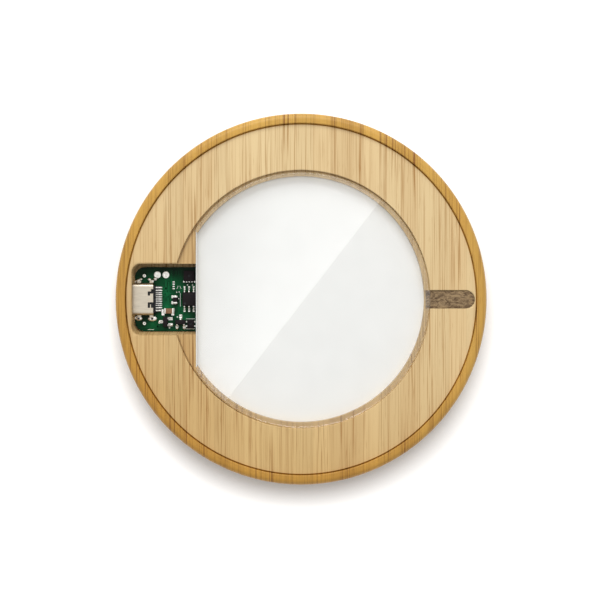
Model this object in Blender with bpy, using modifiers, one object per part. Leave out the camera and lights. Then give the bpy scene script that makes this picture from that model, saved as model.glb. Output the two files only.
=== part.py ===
"""Air quality monitor: a round bamboo puck with a clear window, an open port pocket and a particle sensor.

Frame: metres, +Z up through the window, origin at the centre of the base. The USB socket points to -X and
the slot's porous strip lies towards +X. Every level is stacked up from the base, each height written once.
"""

import math

import bmesh
import bpy

MM = 0.001

# Fits
GAP = 0.3 * MM  # between pieces that rest on or in each other
RUNNING_GAP = 0.05 * MM  # shaft in its bearing, on the radius
STATOR_GAP = 0.4 * MM  # magnet ring round the stator

# Bamboo body
BODY_DIAMETER = 102.0 * MM
FLOOR_THICKNESS = 2.5 * MM
RIM_WIDTH = 2.7 * MM
RIM_STEP = 0.9 * MM
RIM_ROUND = 2.0 * MM
BASE_ROUND = 2.2 * MM
LEDGE_OVERLAP = 0.75 * MM  # wood under the window's edge
SHEET_LEDGE = 2.75 * MM  # wood under the white sheet's edge, with the gap beside it
BOARD_DEPTH = 7.4 * MM  # ring face down to the board's upper face
POCKET_WIDTH = 19.6 * MM
POCKET_CORNER = 2.3 * MM
PORT_WALL = 4.4 * MM  # wood between the pocket and the outside
PLUG_HOLE_WIDTH = 12.8 * MM
PLUG_HOLE_HEIGHT = 6.4 * MM
PLUG_HOLE_CORNER = 2.6 * MM
SLOT_WIDTH = 5.0 * MM
SLOT_WALL = 3.3 * MM  # wood between the slot's round end and the outside
SLOT_DEPTH = 3.6 * MM  # ring face down to the slot's floor
FILTER_SINK = 0.4 * MM  # porous strip's top below the ring face

# Window
WINDOW_DIAMETER = 70.2 * MM
WINDOW_THICKNESS = 1.0 * MM
WINDOW_CUT = 6.0 * MM  # width of the segment cut off beside the port
WINDOW_SIDE_GAP = 0.4 * MM
WINDOW_SINK = 0.2 * MM  # window's top below the ring face
WINDOW_CHAMFER = 0.25 * MM
SHEET_THICKNESS = 0.3 * MM  # white sheet, flat and where it is folded up beside the port
SHEET_CLEARANCE = 0.4 * MM  # white sheet above the controller's shield

# Main board and its screws
BOARD_THICKNESS = 1.6 * MM
BOARD_CLEARANCE = 0.4 * MM
TAB_SIDE_GAP = 0.9 * MM
TAB_END_GAP = 0.5 * MM
TAB_CORNER = 2.5 * MM
BOARD_SCREW_INSET = 3.0 * MM
BOARD_SCREW_SHANK = 1.9 * MM
BOARD_SCREW_HEAD = 3.8 * MM
BOARD_SCREW_HEAD_HEIGHT = 1.4 * MM
BOARD_SCREW_LENGTH = 8.0 * MM
BOARD_SCREW_ANGLES = (50.0, 125.0, 235.0, 310.0)
SCREW_SLOT_SHARE = 0.2  # driver slot's width over the head's

# USB socket
USB_WIDTH = 8.94 * MM
USB_HEIGHT = 3.26 * MM
USB_LENGTH = 7.35 * MM
USB_WALL = 0.3 * MM
USB_SETBACK = 2.75 * MM  # mouth behind the body's outside
USB_STRAP_REACH = 1.0 * MM  # solder straps beyond the shell's sides
USB_STRAP_LENGTH = 1.2 * MM
USB_STRAP_THICKNESS = 0.25 * MM
USB_STRAP_SPACING = 3.6 * MM
TONGUE_LENGTH = 4.4 * MM
TONGUE_THICKNESS = 0.7 * MM
TONGUE_SIDE_GAP = 1.0 * MM
TAIL_PLACES = (3.2, 2.4, 1.75, 1.25, 0.75, 0.25)  # from the socket's middle, in mm, on both sides
TAIL_WIDTH = 0.28 * MM
TAIL_LENGTH = 1.5 * MM
TAIL_THICKNESS = 0.2 * MM
TAIL_LIFT = 0.08 * MM  # stamped bar above the tails' feet

# Chips on the board: length along X, width along Y, height
SERIAL_CHIP = (4.9 * MM, 3.9 * MM, 1.5 * MM)
SERIAL_CHIP_PITCH = 1.27 * MM
SERIAL_CHIP_LEGS = 4
SMALL_CHIP = (2.9 * MM, 1.3 * MM, 1.0 * MM)
SMALL_CHIP_PITCH = 1.9 * MM
LEG_WIDTH = 0.42 * MM
LEG_LENGTH = 1.05 * MM
LEG_THICKNESS = 0.25 * MM
CHIP_LIFT = 0.12 * MM  # chip body above its legs' feet
CAPACITOR = (2.6 * MM, 1.5 * MM, 1.1 * MM)
RESISTOR = (1.25 * MM, 2.0 * MM, 0.5 * MM)
CHIP_ROUND = 0.08 * MM
CLIMATE_SENSOR = (1.9 * MM, 2.3 * MM, 0.9 * MM)
GAS_SENSOR = (3.0 * MM, 3.0 * MM, 0.95 * MM)
VENT_DIAMETER = 0.8 * MM
VENT_DEPTH = 0.4 * MM

# Places in the pocket, from the board tab's end and from the socket's middle line
SERIAL_PLACE = (15.6 * MM, 0.0 * MM)
REGULATOR_PLACE = (8.4 * MM, -6.3 * MM)
PROTECTOR_PLACE = (12.6 * MM, -6.4 * MM)
CAPACITOR_PLACE = (9.4 * MM, -3.3 * MM)
RESISTOR_PLACE = (11.1 * MM, -0.2 * MM)
CLIMATE_PLACE = (15.4 * MM, -6.9 * MM)
GAS_PLACE = (15.0 * MM, 6.4 * MM)

# Controller, lamps and reset switch
CONTROLLER_LENGTH = 16.6 * MM
CONTROLLER_WIDTH = 13.2 * MM
CONTROLLER_THICKNESS = 0.8 * MM
SHIELD_HEIGHT = 1.3 * MM
SHIELD_MARGIN = 0.7 * MM
SHIELD_LENGTH = 11.0 * MM
SHIELD_ROUND = 0.25 * MM
CONTROLLER_GAP = 1.6 * MM  # controller to the fan's opening
LIGHT_COUNT = 6
LIGHT_SIZE = 5.0 * MM
LIGHT_HEIGHT = 1.6 * MM
LIGHT_WALL = 0.6 * MM
LIGHT_WELL = 0.5 * MM
LIGHT_INSET = 6.8 * MM  # lamp's middle inside the board's edge
SWITCH_SIZE = 4.5 * MM
SWITCH_HEIGHT = 1.7 * MM
SWITCH_INSET = 6.2 * MM
BUTTON_DIAMETER = 2.0 * MM
BUTTON_PROUD = 0.6 * MM
BUTTON_DEPTH = 0.6 * MM  # button inside the switch
BUTTON_TRAVEL = 0.25 * MM

# Particle sensor
SENSOR_LENGTH = 38.0 * MM
SENSOR_WIDTH = 35.0 * MM
SENSOR_HEIGHT = 12.0 * MM
SENSOR_WALL = 1.2 * MM
SENSOR_POCKET_GAP = 0.4 * MM
SENSOR_POCKET_CORNER = 1.2 * MM
SENSOR_HEADROOM = 1.4 * MM  # sensor's top to the wood that carries the board
PAD_THICKNESS = 0.5 * MM
PAD_INSET = 3.0 * MM
INLET_LENGTH = 8.0 * MM
INLET_WIDTH = 2.6 * MM
INLET_OFFSET = 12.5 * MM
POST_RADIUS = 1.9 * MM
LID_SCREW_SHANK = 1.2 * MM
LID_SCREW_HEAD = 2.4 * MM
LID_SCREW_HEAD_HEIGHT = 0.7 * MM
LID_SCREW_LENGTH = 5.0 * MM
SENSOR_BOARD_THICKNESS = 1.0 * MM
SENSOR_BOARD_GAP = 0.6 * MM
HEADER_PINS = 5
HEADER_PITCH = 1.27 * MM
HEADER_PIN = 0.4 * MM
HEADER_WIDTH = 2.1 * MM
HEADER_HEIGHT = 1.5 * MM
HEADER_ENGAGE = 3.0 * MM  # pins inside the socket
SOCKET_WIDTH = 2.6 * MM
SOCKET_END_WALL = 0.8 * MM
HEADER_INSET = 1.8 * MM  # header's middle inside the sensor board's edge
LASER_DIAMETER = 4.0 * MM
LASER_LENGTH = 9.0 * MM
LASER_WALL = 1.0 * MM
LASER_CHAMFER = 0.25 * MM
LASER_HOLDER_LENGTH = 5.0 * MM
LASER_OFFSET = 6.0 * MM
DETECTOR = (2.6 * MM, 2.6 * MM, 1.1 * MM)
DETECTOR_OFFSET = 3.0 * MM

# Fan in the sensor
FAN_DIAMETER = 19.0 * MM
FAN_SIDE_GAP = 0.8 * MM
FAN_BLADES = 7
BLADE_THICKNESS = 0.8 * MM
BLADE_HEIGHT = 4.6 * MM
BLADE_SWEEP = 32.0  # degrees from hub to tip
SHAFT_DIAMETER = 1.5 * MM
BEARING_WALL = 1.2 * MM
BEARING_LENGTH = 5.4 * MM
BOSS_WALL = 0.6 * MM
BOSS_HEIGHT = 1.6 * MM
STATOR_WALL = 1.3 * MM
STATOR_HEIGHT = 2.6 * MM
MAGNET_WALL = 0.7 * MM
HUB_WALL = 0.7 * MM
HUB_TOP = 1.6 * MM
SHAFT_IN_HUB = 1.1 * MM

# Mesh fineness
WELD = 0.001 * MM
BODY_STEPS = 96
ROUND_STEPS = 4
CORNER_STEPS = 4
DISC_STEPS = 64
SMALL_STEPS = 16

# Radii and lengths that follow
body_radius = BODY_DIAMETER / 2
ring_radius = body_radius - RIM_WIDTH
window_radius = WINDOW_DIAMETER / 2
window_chord = window_radius - WINDOW_CUT
recess_radius = window_radius + WINDOW_SIDE_GAP
well_radius = window_radius - LEDGE_OVERLAP
well_chord = window_chord - LEDGE_OVERLAP
cavity_radius = well_radius - SHEET_LEDGE
cavity_chord = well_chord - SHEET_LEDGE
pocket_end = body_radius - PORT_WALL
slot_end = body_radius - SLOT_WALL
board_radius = cavity_radius - BOARD_CLEARANCE
board_chord = cavity_chord - BOARD_CLEARANCE
tab_width = POCKET_WIDTH - 2 * TAB_SIDE_GAP
tab_end = pocket_end - TAB_END_GAP
usb_front = body_radius - USB_SETBACK

# Levels from the base up
pad_bottom = FLOOR_THICKNESS + GAP
sensor_bottom = pad_bottom + PAD_THICKNESS + GAP
sensor_floor = sensor_bottom + SENSOR_WALL
sensor_top = sensor_bottom + SENSOR_HEIGHT
lid_bottom = sensor_top - SENSOR_WALL
board_seat = sensor_top + SENSOR_HEADROOM
board_bottom = board_seat + GAP
board_top = board_bottom + BOARD_THICKNESS
part_seat = board_top + GAP
ring_level = board_top + BOARD_DEPTH
rim_level = ring_level + RIM_STEP
window_bottom = ring_level - WINDOW_SINK - WINDOW_THICKNESS
ledge_level = window_bottom - GAP
shield_seat = part_seat + CONTROLLER_THICKNESS + GAP
sheet_bottom = shield_seat + SHIELD_HEIGHT + SHEET_CLEARANCE
sheet_top = sheet_bottom + SHEET_THICKNESS
well_level = sheet_bottom - GAP
slot_level = ring_level - SLOT_DEPTH
usb_level = part_seat + USB_HEIGHT / 2

# Fan radii, from the shaft outwards
shaft_radius = SHAFT_DIAMETER / 2
bore_radius = shaft_radius + RUNNING_GAP
bearing_radius = bore_radius + BEARING_WALL
boss_bore = bearing_radius + GAP
boss_radius = boss_bore + BOSS_WALL
stator_radius = boss_bore + STATOR_WALL
magnet_bore = stator_radius + STATOR_GAP
magnet_radius = magnet_bore + MAGNET_WALL
hub_bore = magnet_radius + GAP
hub_radius = hub_bore + HUB_WALL
fan_radius = FAN_DIAMETER / 2

# Fan levels, and the sensor's two chambers
boss_top = sensor_floor + BOSS_HEIGHT
bearing_bottom = sensor_floor + GAP
bearing_top = bearing_bottom + BEARING_LENGTH
stator_bottom = boss_top + GAP
stator_top = stator_bottom + STATOR_HEIGHT
hub_ceiling = bearing_top + GAP
hub_top = hub_ceiling + HUB_TOP
fan_x = SENSOR_LENGTH / 2 - SENSOR_WALL - FAN_SIDE_GAP - fan_radius
fan_hole_radius = fan_radius + FAN_SIDE_GAP
partition_x = fan_x - fan_hole_radius - SENSOR_WALL
chamber_left = -SENSOR_LENGTH / 2 + SENSOR_WALL
chamber_x = (chamber_left + partition_x) / 2
sensor_board_bottom = sensor_floor + GAP
sensor_board_top = sensor_board_bottom + SENSOR_BOARD_THICKNESS
sensor_board_half = SENSOR_WIDTH / 2 - SENSOR_WALL / 2 - 2 * POST_RADIUS - GAP
header_length = HEADER_PINS * HEADER_PITCH
header_y = HEADER_INSET - sensor_board_half
controller_x = fan_x - fan_hole_radius - CONTROLLER_GAP - CONTROLLER_LENGTH / 2


def clear_scene():
    for obj in list(bpy.data.objects):
        bpy.data.objects.remove(obj, do_unlink=True)


def new_collection(name):
    collection = bpy.data.collections.new(name)
    bpy.context.scene.collection.children.link(collection)
    return collection


def material(name, colour, roughness, metallic=0.0):
    made = bpy.data.materials.new(name)
    made.use_nodes = True
    shader = made.node_tree.nodes["Principled BSDF"]
    shader.inputs["Base Color"].default_value = (*colour, 1.0)
    shader.inputs["Roughness"].default_value = roughness
    shader.inputs["Metallic"].default_value = metallic
    return made


clear_scene()
PARTS = new_collection("air_quality_monitor")
CUTTERS = new_collection("cutters")

BAMBOO = material("bamboo", (0.66, 0.46, 0.22), 0.5)
ACRYLIC = material("clear_acrylic", (0.92, 0.94, 0.94), 0.05)
WHITE_SHEET = material("white_sheet", (0.88, 0.88, 0.88), 0.5)
SOLDER_MASK = material("green_solder_mask", (0.02, 0.16, 0.06), 0.35)
STEEL = material("plated_steel", (0.62, 0.58, 0.52), 0.3, 1.0)
TIN = material("tinned_copper", (0.75, 0.74, 0.7), 0.3, 1.0)
BLACK_PLASTIC = material("black_plastic", (0.02, 0.02, 0.02), 0.5)
CERAMIC = material("brown_ceramic", (0.25, 0.14, 0.07), 0.4)
LAMP_PLASTIC = material("white_lamp_plastic", (0.8, 0.8, 0.76), 0.4)
BRASS = material("brass", (0.7, 0.5, 0.2), 0.3, 1.0)
BRONZE = material("sintered_bronze", (0.45, 0.28, 0.14), 0.5, 1.0)
FERRITE = material("ferrite", (0.06, 0.06, 0.065), 0.6)
COPPER = material("copper_winding", (0.6, 0.26, 0.12), 0.35, 1.0)
FOAM = material("grey_foam", (0.15, 0.15, 0.16), 0.9)
FELT = material("taupe_felt", (0.23, 0.15, 0.08), 0.95)


def add_object(name, mesh, finish=None):
    """A part when it has a finish, and a hidden helper for a Boolean when it has none."""
    obj = bpy.data.objects.new(name, mesh)
    if finish:
        mesh.materials.append(finish)
        PARTS.objects.link(obj)
    else:
        CUTTERS.objects.link(obj)
        obj.hide_render = True
        obj.display_type = "WIRE"
    return obj


def shade(obj, angle=30.0):
    obj.data.shade_smooth()
    obj.data.set_sharp_from_angle(angle=math.radians(angle))


def box(name, size, place, finish=None):
    """A box whose place is the middle of its lower face."""
    bm = bmesh.new()
    bmesh.ops.create_cube(bm, size=1.0)
    bmesh.ops.scale(bm, vec=size, verts=bm.verts)
    bmesh.ops.translate(bm, vec=(0.0, 0.0, size[2] / 2), verts=bm.verts)
    mesh = bpy.data.meshes.new(name)
    bm.to_mesh(mesh)
    bm.free()
    obj = add_object(name, mesh, finish)
    obj.location = place
    return obj


def cylinder(name, radius, height, place, finish=None, steps=SMALL_STEPS):
    """An upright cylinder whose place is the middle of its lower face."""
    bm = bmesh.new()
    bmesh.ops.create_cone(bm, cap_ends=True, segments=steps, radius1=radius, radius2=radius, depth=height)
    bmesh.ops.translate(bm, vec=(0.0, 0.0, height / 2), verts=bm.verts)
    mesh = bpy.data.meshes.new(name)
    bm.to_mesh(mesh)
    bm.free()
    obj = add_object(name, mesh, finish)
    obj.location = place
    shade(obj)
    return obj


def plate(name, outlines, height, place, finish=None):
    """A flat sheet with these outlines (the first is the edge, the rest are holes), on its lower face."""
    curve = bpy.data.curves.new(name, "CURVE")
    curve.dimensions = "2D"
    curve.fill_mode = "BOTH"
    curve.extrude = height / 2
    for outline in outlines:
        spline = curve.splines.new("POLY")
        spline.points.add(len(outline) - 1)
        for point, (x, y) in zip(spline.points, outline):
            point.co = (x, y, 0.0, 1.0)
        spline.use_cyclic_u = True
    drawn = bpy.data.objects.new(name + "_outline", curve)
    CUTTERS.objects.link(drawn)
    graph = bpy.context.evaluated_depsgraph_get()
    mesh = bpy.data.meshes.new_from_object(drawn.evaluated_get(graph))
    bpy.data.objects.remove(drawn, do_unlink=True)
    bm = bmesh.new()
    bm.from_mesh(mesh)
    bmesh.ops.remove_doubles(bm, verts=bm.verts, dist=WELD)
    bmesh.ops.translate(bm, vec=(0.0, 0.0, height / 2), verts=bm.verts)
    bmesh.ops.recalc_face_normals(bm, faces=bm.faces)
    bm.to_mesh(mesh)
    bm.free()
    mesh.name = name
    obj = add_object(name, mesh, finish)
    obj.location = place
    shade(obj)
    return obj


def turned(name, profile, place, finish=None, steps=SMALL_STEPS):
    """A profile of (radius, height) points turned about Z. One off the axis is closed into a ring."""
    bm = bmesh.new()
    verts = [bm.verts.new((radius, 0.0, height)) for radius, height in profile]
    for first, second in zip(verts, verts[1:]):
        bm.edges.new((first, second))
    if min(radius for radius, _ in profile) > 0.0:
        bm.edges.new((verts[-1], verts[0]))
    mesh = bpy.data.meshes.new(name)
    bm.to_mesh(mesh)
    bm.free()
    obj = add_object(name, mesh, finish)
    obj.location = place
    screw = obj.modifiers.new("turn", "SCREW")
    screw.axis = "Z"
    screw.angle = 2 * math.pi
    screw.steps = steps
    screw.render_steps = steps
    screw.use_merge_vertices = True
    screw.merge_threshold = WELD
    screw.use_normal_calculate = False
    screw.use_smooth_shade = True
    return obj


def boolean(obj, helper, operation):
    modifier = obj.modifiers.new(helper.name, "BOOLEAN")
    modifier.operation = operation
    modifier.object = helper
    helper.parent = obj.parent


def cut(obj, helper):
    boolean(obj, helper, "DIFFERENCE")


def join(obj, helper):
    boolean(obj, helper, "UNION")


def bevel(obj, width, segments=2):
    modifier = obj.modifiers.new("round", "BEVEL")
    modifier.width = width
    modifier.segments = segments
    modifier.limit_method = "ANGLE"


def frame(name, place):
    """An empty that carries a group of pieces."""
    empty = bpy.data.objects.new(name, None)
    empty.location = place
    PARTS.objects.link(empty)
    return empty


def arc(centre, radius, start, end, steps):
    """Points on an arc, with angles in degrees and both ends kept."""
    angles = [math.radians(start + (end - start) * i / steps) for i in range(steps + 1)]
    return [(centre[0] + radius * math.cos(a), centre[1] + radius * math.sin(a)) for a in angles]


def circle(centre, radius, steps=SMALL_STEPS):
    return arc(centre, radius, 0.0, 360.0, steps)[:-1]


def rounded_rectangle(left, right, low, high, corner, steps=CORNER_STEPS):
    return (
        arc((right - corner, high - corner), corner, 0, 90, steps)
        + arc((left + corner, high - corner), corner, 90, 180, steps)
        + arc((left + corner, low + corner), corner, 180, 270, steps)
        + arc((right - corner, low + corner), corner, 270, 360, steps)
    )


def cut_disc(radius, chord, steps=DISC_STEPS):
    """A disc with the segment beyond x = -chord cut off."""
    half = 180.0 - math.degrees(math.acos(chord / radius))
    return arc((0.0, 0.0), radius, -half, half, steps)


def paddle(radius, chord, width, end, corner):
    """A cut disc with a tab that runs out over its straight edge to x = -end."""
    return (
        cut_disc(radius, chord)
        + [(-chord, width / 2)]
        + arc((-end + corner, width / 2 - corner), corner, 90, 180, CORNER_STEPS)
        + arc((-end + corner, -width / 2 + corner), corner, 180, 270, CORNER_STEPS)
        + [(-chord, -width / 2)]
    )


def rectangle(length, width):
    return [
        (length / 2, width / 2),
        (-length / 2, width / 2),
        (-length / 2, -width / 2),
        (length / 2, -width / 2),
    ]


def board_screw_places():
    reach = board_radius - BOARD_SCREW_INSET
    angles = [math.radians(angle) for angle in BOARD_SCREW_ANGLES]
    return [(reach * math.cos(a), reach * math.sin(a)) for a in angles]


def lid_screw_places():
    x = SENSOR_LENGTH / 2 - SENSOR_WALL / 2 - POST_RADIUS
    y = SENSOR_WIDTH / 2 - SENSOR_WALL / 2 - POST_RADIUS
    return [(x, y), (-x, y), (-x, -y), (x, -y)]


def body_profile():
    """The puck's outside from the middle of its ring face to the middle of its base."""
    rim = arc((body_radius - RIM_ROUND, rim_level - RIM_ROUND), RIM_ROUND, 90, 0, ROUND_STEPS)
    base = arc((body_radius - BASE_ROUND, BASE_ROUND), BASE_ROUND, 0, -90, ROUND_STEPS)
    inner = [(0.0, ring_level), (ring_radius, ring_level), (ring_radius, rim_level)]
    return inner + rim + base + [(0.0, 0.0)]


def make_body():
    body = turned("bamboo_body", body_profile(), (0.0, 0.0, 0.0), BAMBOO, BODY_STEPS)
    above = rim_level + GAP
    recess = circle((0.0, 0.0), recess_radius, BODY_STEPS)
    cut(body, plate("window_recess", [recess], above - ledge_level, (0.0, 0.0, ledge_level)))
    well = cut_disc(well_radius, well_chord)
    cut(body, plate("sheet_well", [well], above - well_level, (0.0, 0.0, well_level)))
    cavity = paddle(cavity_radius, cavity_chord, POCKET_WIDTH, pocket_end, POCKET_CORNER)
    cut(body, plate("board_cavity", [cavity], above - board_seat, (0.0, 0.0, board_seat)))
    slot_half = SLOT_WIDTH / 2
    slot = rounded_rectangle(0.0, slot_end, -slot_half, slot_half, slot_half, 2 * CORNER_STEPS)
    cut(body, plate("air_slot", [slot], above - slot_level, (0.0, 0.0, slot_level)))
    half_length = SENSOR_LENGTH / 2 + SENSOR_POCKET_GAP
    half_width = SENSOR_WIDTH / 2 + SENSOR_POCKET_GAP
    well = rounded_rectangle(-half_length, half_length, -half_width, half_width, SENSOR_POCKET_CORNER)
    depth = board_seat + GAP - FLOOR_THICKNESS
    cut(body, plate("sensor_well", [well], depth, (0.0, 0.0, FLOOR_THICKNESS)))
    cut(body, plug_hole())
    hole = BOARD_SCREW_SHANK / 2 + GAP
    depth = BOARD_SCREW_LENGTH + GAP
    for index, (x, y) in enumerate(board_screw_places()):
        pilot = (x, y, board_top + GAP - depth)
        cut(body, cylinder(f"pilot_hole_{index + 1}", hole, depth, pilot))


def plug_hole():
    """The rounded hole through the port's wall, drawn upright and turned to run along X."""
    half_width = PLUG_HOLE_WIDTH / 2
    half_height = PLUG_HOLE_HEIGHT / 2
    outline = rounded_rectangle(-half_width, half_width, -half_height, half_height, PLUG_HOLE_CORNER)
    hole = plate("plug_hole", [outline], 2 * PORT_WALL, (-pocket_end + PORT_WALL / 2, 0.0, usb_level))
    hole.rotation_euler = (math.pi / 2, 0.0, -math.pi / 2)
    return hole


def make_slot_filter():
    """The porous strip in the slot, stepped down inside the recess so that the window passes over it."""
    half = SLOT_WIDTH / 2 - GAP
    start = well_radius + GAP
    end = slot_end - GAP
    outline = arc((end - half, 0.0), half, -90, 90, 2 * CORNER_STEPS)
    outline += [(start, half), (start, -half)]
    low = slot_level + GAP
    top = ring_level - FILTER_SINK
    strip = plate("slot_filter", [outline], top - low, (0.0, 0.0, low), FELT)
    step = (0.0, 0.0, ledge_level)
    cut(strip, cylinder("filter_step", recess_radius, ring_level - ledge_level, step, None, BODY_STEPS))


def make_window():
    outline = cut_disc(window_radius, window_chord)
    window = plate("clear_window", [outline], WINDOW_THICKNESS, (0.0, 0.0, window_bottom), ACRYLIC)
    bevel(window, WINDOW_CHAMFER, 1)


def make_light_diffuser():
    """The white sheet over the lamps, folded up to the window along its straight edge."""
    chord = well_chord - GAP
    height = ledge_level - sheet_bottom
    outline = cut_disc(well_radius - GAP, chord)
    sheet = plate("light_diffuser", [outline], height, (0.0, 0.0, sheet_bottom), WHITE_SHEET)
    room = cut_disc(well_radius, chord - SHEET_THICKNESS)
    cut(sheet, plate("sheet_room", [room], height, (0.0, 0.0, sheet_top)))


def make_main_board():
    outline = paddle(board_radius, board_chord, tab_width, tab_end, TAB_CORNER)
    holes = [circle((fan_x, 0.0), fan_hole_radius, DISC_STEPS // 2), air_inlet(), header_slot()]
    holes += [circle(place, BOARD_SCREW_SHANK / 2 + GAP) for place in board_screw_places()]
    plate("main_board", [outline] + holes, BOARD_THICKNESS, (0.0, 0.0, board_bottom), SOLDER_MASK)


def air_inlet():
    """The opening that air goes down through, in the board and in the sensor's lid."""
    half = INLET_LENGTH / 2
    low = INLET_OFFSET - INLET_WIDTH / 2
    return rounded_rectangle(chamber_x - half, chamber_x + half, low, low + INLET_WIDTH, INLET_WIDTH / 2)


def header_slot():
    """The opening that the header's pins pass through, in the board and in the sensor's lid."""
    half = header_length / 2
    reach = HEADER_PIN / 2 + GAP
    return [
        (chamber_x + half, header_y + reach),
        (chamber_x - half, header_y + reach),
        (chamber_x - half, header_y - reach),
        (chamber_x + half, header_y - reach),
    ]


def make_screw(name, place, seat, shank, head, head_height, length):
    """A pan-head screw with a straight driver slot, its head on this seat."""
    shank_radius = shank / 2
    head_radius = head / 2
    shoulder = head_height / 2
    profile = [
        (0.0, head_height),
        (head_radius - shoulder / 2, head_height),
        (head_radius, shoulder),
        (head_radius, 0.0),
        (shank_radius, 0.0),
        (shank_radius, -length + shank_radius),
        (0.0, -length),
    ]
    screw = turned(name, profile, (place[0], place[1], seat), STEEL)
    slot_size = (2 * head, head * SCREW_SLOT_SHARE, head_height)
    cut(screw, box(name + "_slot", slot_size, (place[0], place[1], seat + shoulder)))


def make_board_screws():
    for index, place in enumerate(board_screw_places()):
        make_screw(
            f"board_screw_{index + 1}",
            place,
            part_seat,
            BOARD_SCREW_SHANK,
            BOARD_SCREW_HEAD,
            BOARD_SCREW_HEAD_HEIGHT,
            BOARD_SCREW_LENGTH,
        )


def make_usb_socket():
    """Shell, tongue and contact tails, on a frame at the middle of the socket's mouth."""
    port = frame("usb_port", (-usb_front, 0.0, part_seat))
    half_width = USB_WIDTH / 2
    half_height = USB_HEIGHT / 2
    corner = half_height - USB_WALL / 2
    outer = rounded_rectangle(-half_width, half_width, -half_height, half_height, corner)
    inner_width = half_width - USB_WALL
    inner_height = half_height - USB_WALL
    inner = rounded_rectangle(-inner_width, inner_width, -inner_height, inner_height, corner - USB_WALL)
    shell = plate("usb_shell", [outer, inner], USB_LENGTH, (0.0, 0.0, half_height), STEEL)
    shell.rotation_euler = (math.pi / 2, 0.0, math.pi / 2)
    shell.parent = port
    strap = (USB_STRAP_LENGTH, USB_WIDTH + 2 * USB_STRAP_REACH, USB_STRAP_THICKNESS)
    for side in (-1, 1):
        place = (USB_LENGTH / 2 + side * USB_STRAP_SPACING / 2 + USB_STRAP_LENGTH, 0.0, 0.0)
        join(shell, box(f"usb_strap_{side + 2}", strap, place))
    block = (
        USB_LENGTH - TONGUE_LENGTH - GAP,
        2 * (inner_width - corner - GAP),
        2 * (inner_height - GAP),
    )
    block_place = (USB_LENGTH - block[0] / 2, 0.0, half_height - block[2] / 2)
    tongue = box("usb_tongue", block, block_place, BLACK_PLASTIC)
    tongue.parent = port
    blade = (TONGUE_LENGTH, 2 * (inner_width - TONGUE_SIDE_GAP), TONGUE_THICKNESS)
    blade_place = (USB_LENGTH - block[0] - TONGUE_LENGTH / 2 + GAP, 0.0, half_height - TONGUE_THICKNESS / 2)
    join(tongue, box("usb_blade", blade, blade_place))
    make_usb_tails(port)


def make_usb_tails(port):
    """The row of solder tails behind the shell, on the bar they are stamped from."""
    places = [side * place * MM for side in (-1, 1) for place in TAIL_PLACES]
    bar = (2 * TAIL_WIDTH, 2 * max(places) + 2 * TAIL_WIDTH, TAIL_THICKNESS)
    bar_x = USB_LENGTH + GAP + bar[0] / 2
    tails = box("usb_contacts", bar, (bar_x, 0.0, TAIL_LIFT), TIN)
    tails.parent = port
    size = (TAIL_LENGTH, TAIL_WIDTH, TAIL_THICKNESS)
    for index, place in enumerate(places):
        join(tails, box(f"usb_tail_{index + 1}", size, (bar_x + TAIL_LENGTH / 2, place, 0.0)))


def make_legged_chip(name, size, upper, lower, place, angle=0.0):
    """A chip body with flat legs along its upper and lower sides, on a frame turned by this angle."""
    seat = frame(name + "_seat", (place[0], place[1], part_seat))
    seat.rotation_euler = (0.0, 0.0, math.radians(angle))
    chip = box(name, size, (0.0, 0.0, CHIP_LIFT), BLACK_PLASTIC)
    chip.parent = seat
    leg = (LEG_WIDTH, size[1] / 4 + LEG_LENGTH, LEG_THICKNESS)
    reach = size[1] / 2 + LEG_LENGTH - leg[1] / 2
    for side, row in ((1, upper), (-1, lower)):
        for index, x in enumerate(row):
            join(chip, box(f"{name}_leg_{side + 1}_{index + 1}", leg, (x, side * reach, 0.0)))


def make_chips():
    count = SERIAL_CHIP_LEGS
    row = [(i - (count - 1) / 2) * SERIAL_CHIP_PITCH for i in range(count)]
    make_legged_chip("serial_chip", SERIAL_CHIP, row, row, pocket_place(SERIAL_PLACE))
    pair = [-SMALL_CHIP_PITCH / 2, SMALL_CHIP_PITCH / 2]
    make_legged_chip("regulator_chip", SMALL_CHIP, [0.0], pair, pocket_place(REGULATOR_PLACE), 90.0)
    make_legged_chip("protector_chip", SMALL_CHIP, [0.0], pair, pocket_place(PROTECTOR_PLACE))


def pocket_place(place):
    return (-tab_end + place[0], place[1])


def make_chip_parts():
    for name, size, place, finish in (
        ("input_capacitor", CAPACITOR, CAPACITOR_PLACE, CERAMIC),
        ("pull_resistor", RESISTOR, RESISTOR_PLACE, TIN),
    ):
        piece = box(name, size, (*pocket_place(place), part_seat), finish)
        bevel(piece, CHIP_ROUND)


def make_air_sensors():
    """The two small sensor packages, each with a vent in its lid."""
    for name, size, place in (
        ("climate_sensor", CLIMATE_SENSOR, CLIMATE_PLACE),
        ("gas_sensor", GAS_SENSOR, GAS_PLACE),
    ):
        x, y = pocket_place(place)
        piece = box(name, size, (x, y, part_seat), STEEL)
        top = part_seat + size[2]
        vent = cylinder(name + "_vent", VENT_DIAMETER / 2, 2 * VENT_DEPTH, (x, y, top - VENT_DEPTH))
        cut(piece, vent)


def make_controller():
    size = (CONTROLLER_LENGTH, CONTROLLER_WIDTH, CONTROLLER_THICKNESS)
    box("controller_board", size, (controller_x, 0.0, part_seat), SOLDER_MASK)
    shield_x = controller_x + CONTROLLER_LENGTH / 2 - SHIELD_MARGIN - SHIELD_LENGTH / 2
    size = (SHIELD_LENGTH, CONTROLLER_WIDTH - 2 * SHIELD_MARGIN, SHIELD_HEIGHT)
    shield = box("controller_shield", size, (shield_x, 0.0, shield_seat), STEEL)
    bevel(shield, SHIELD_ROUND)


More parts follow.
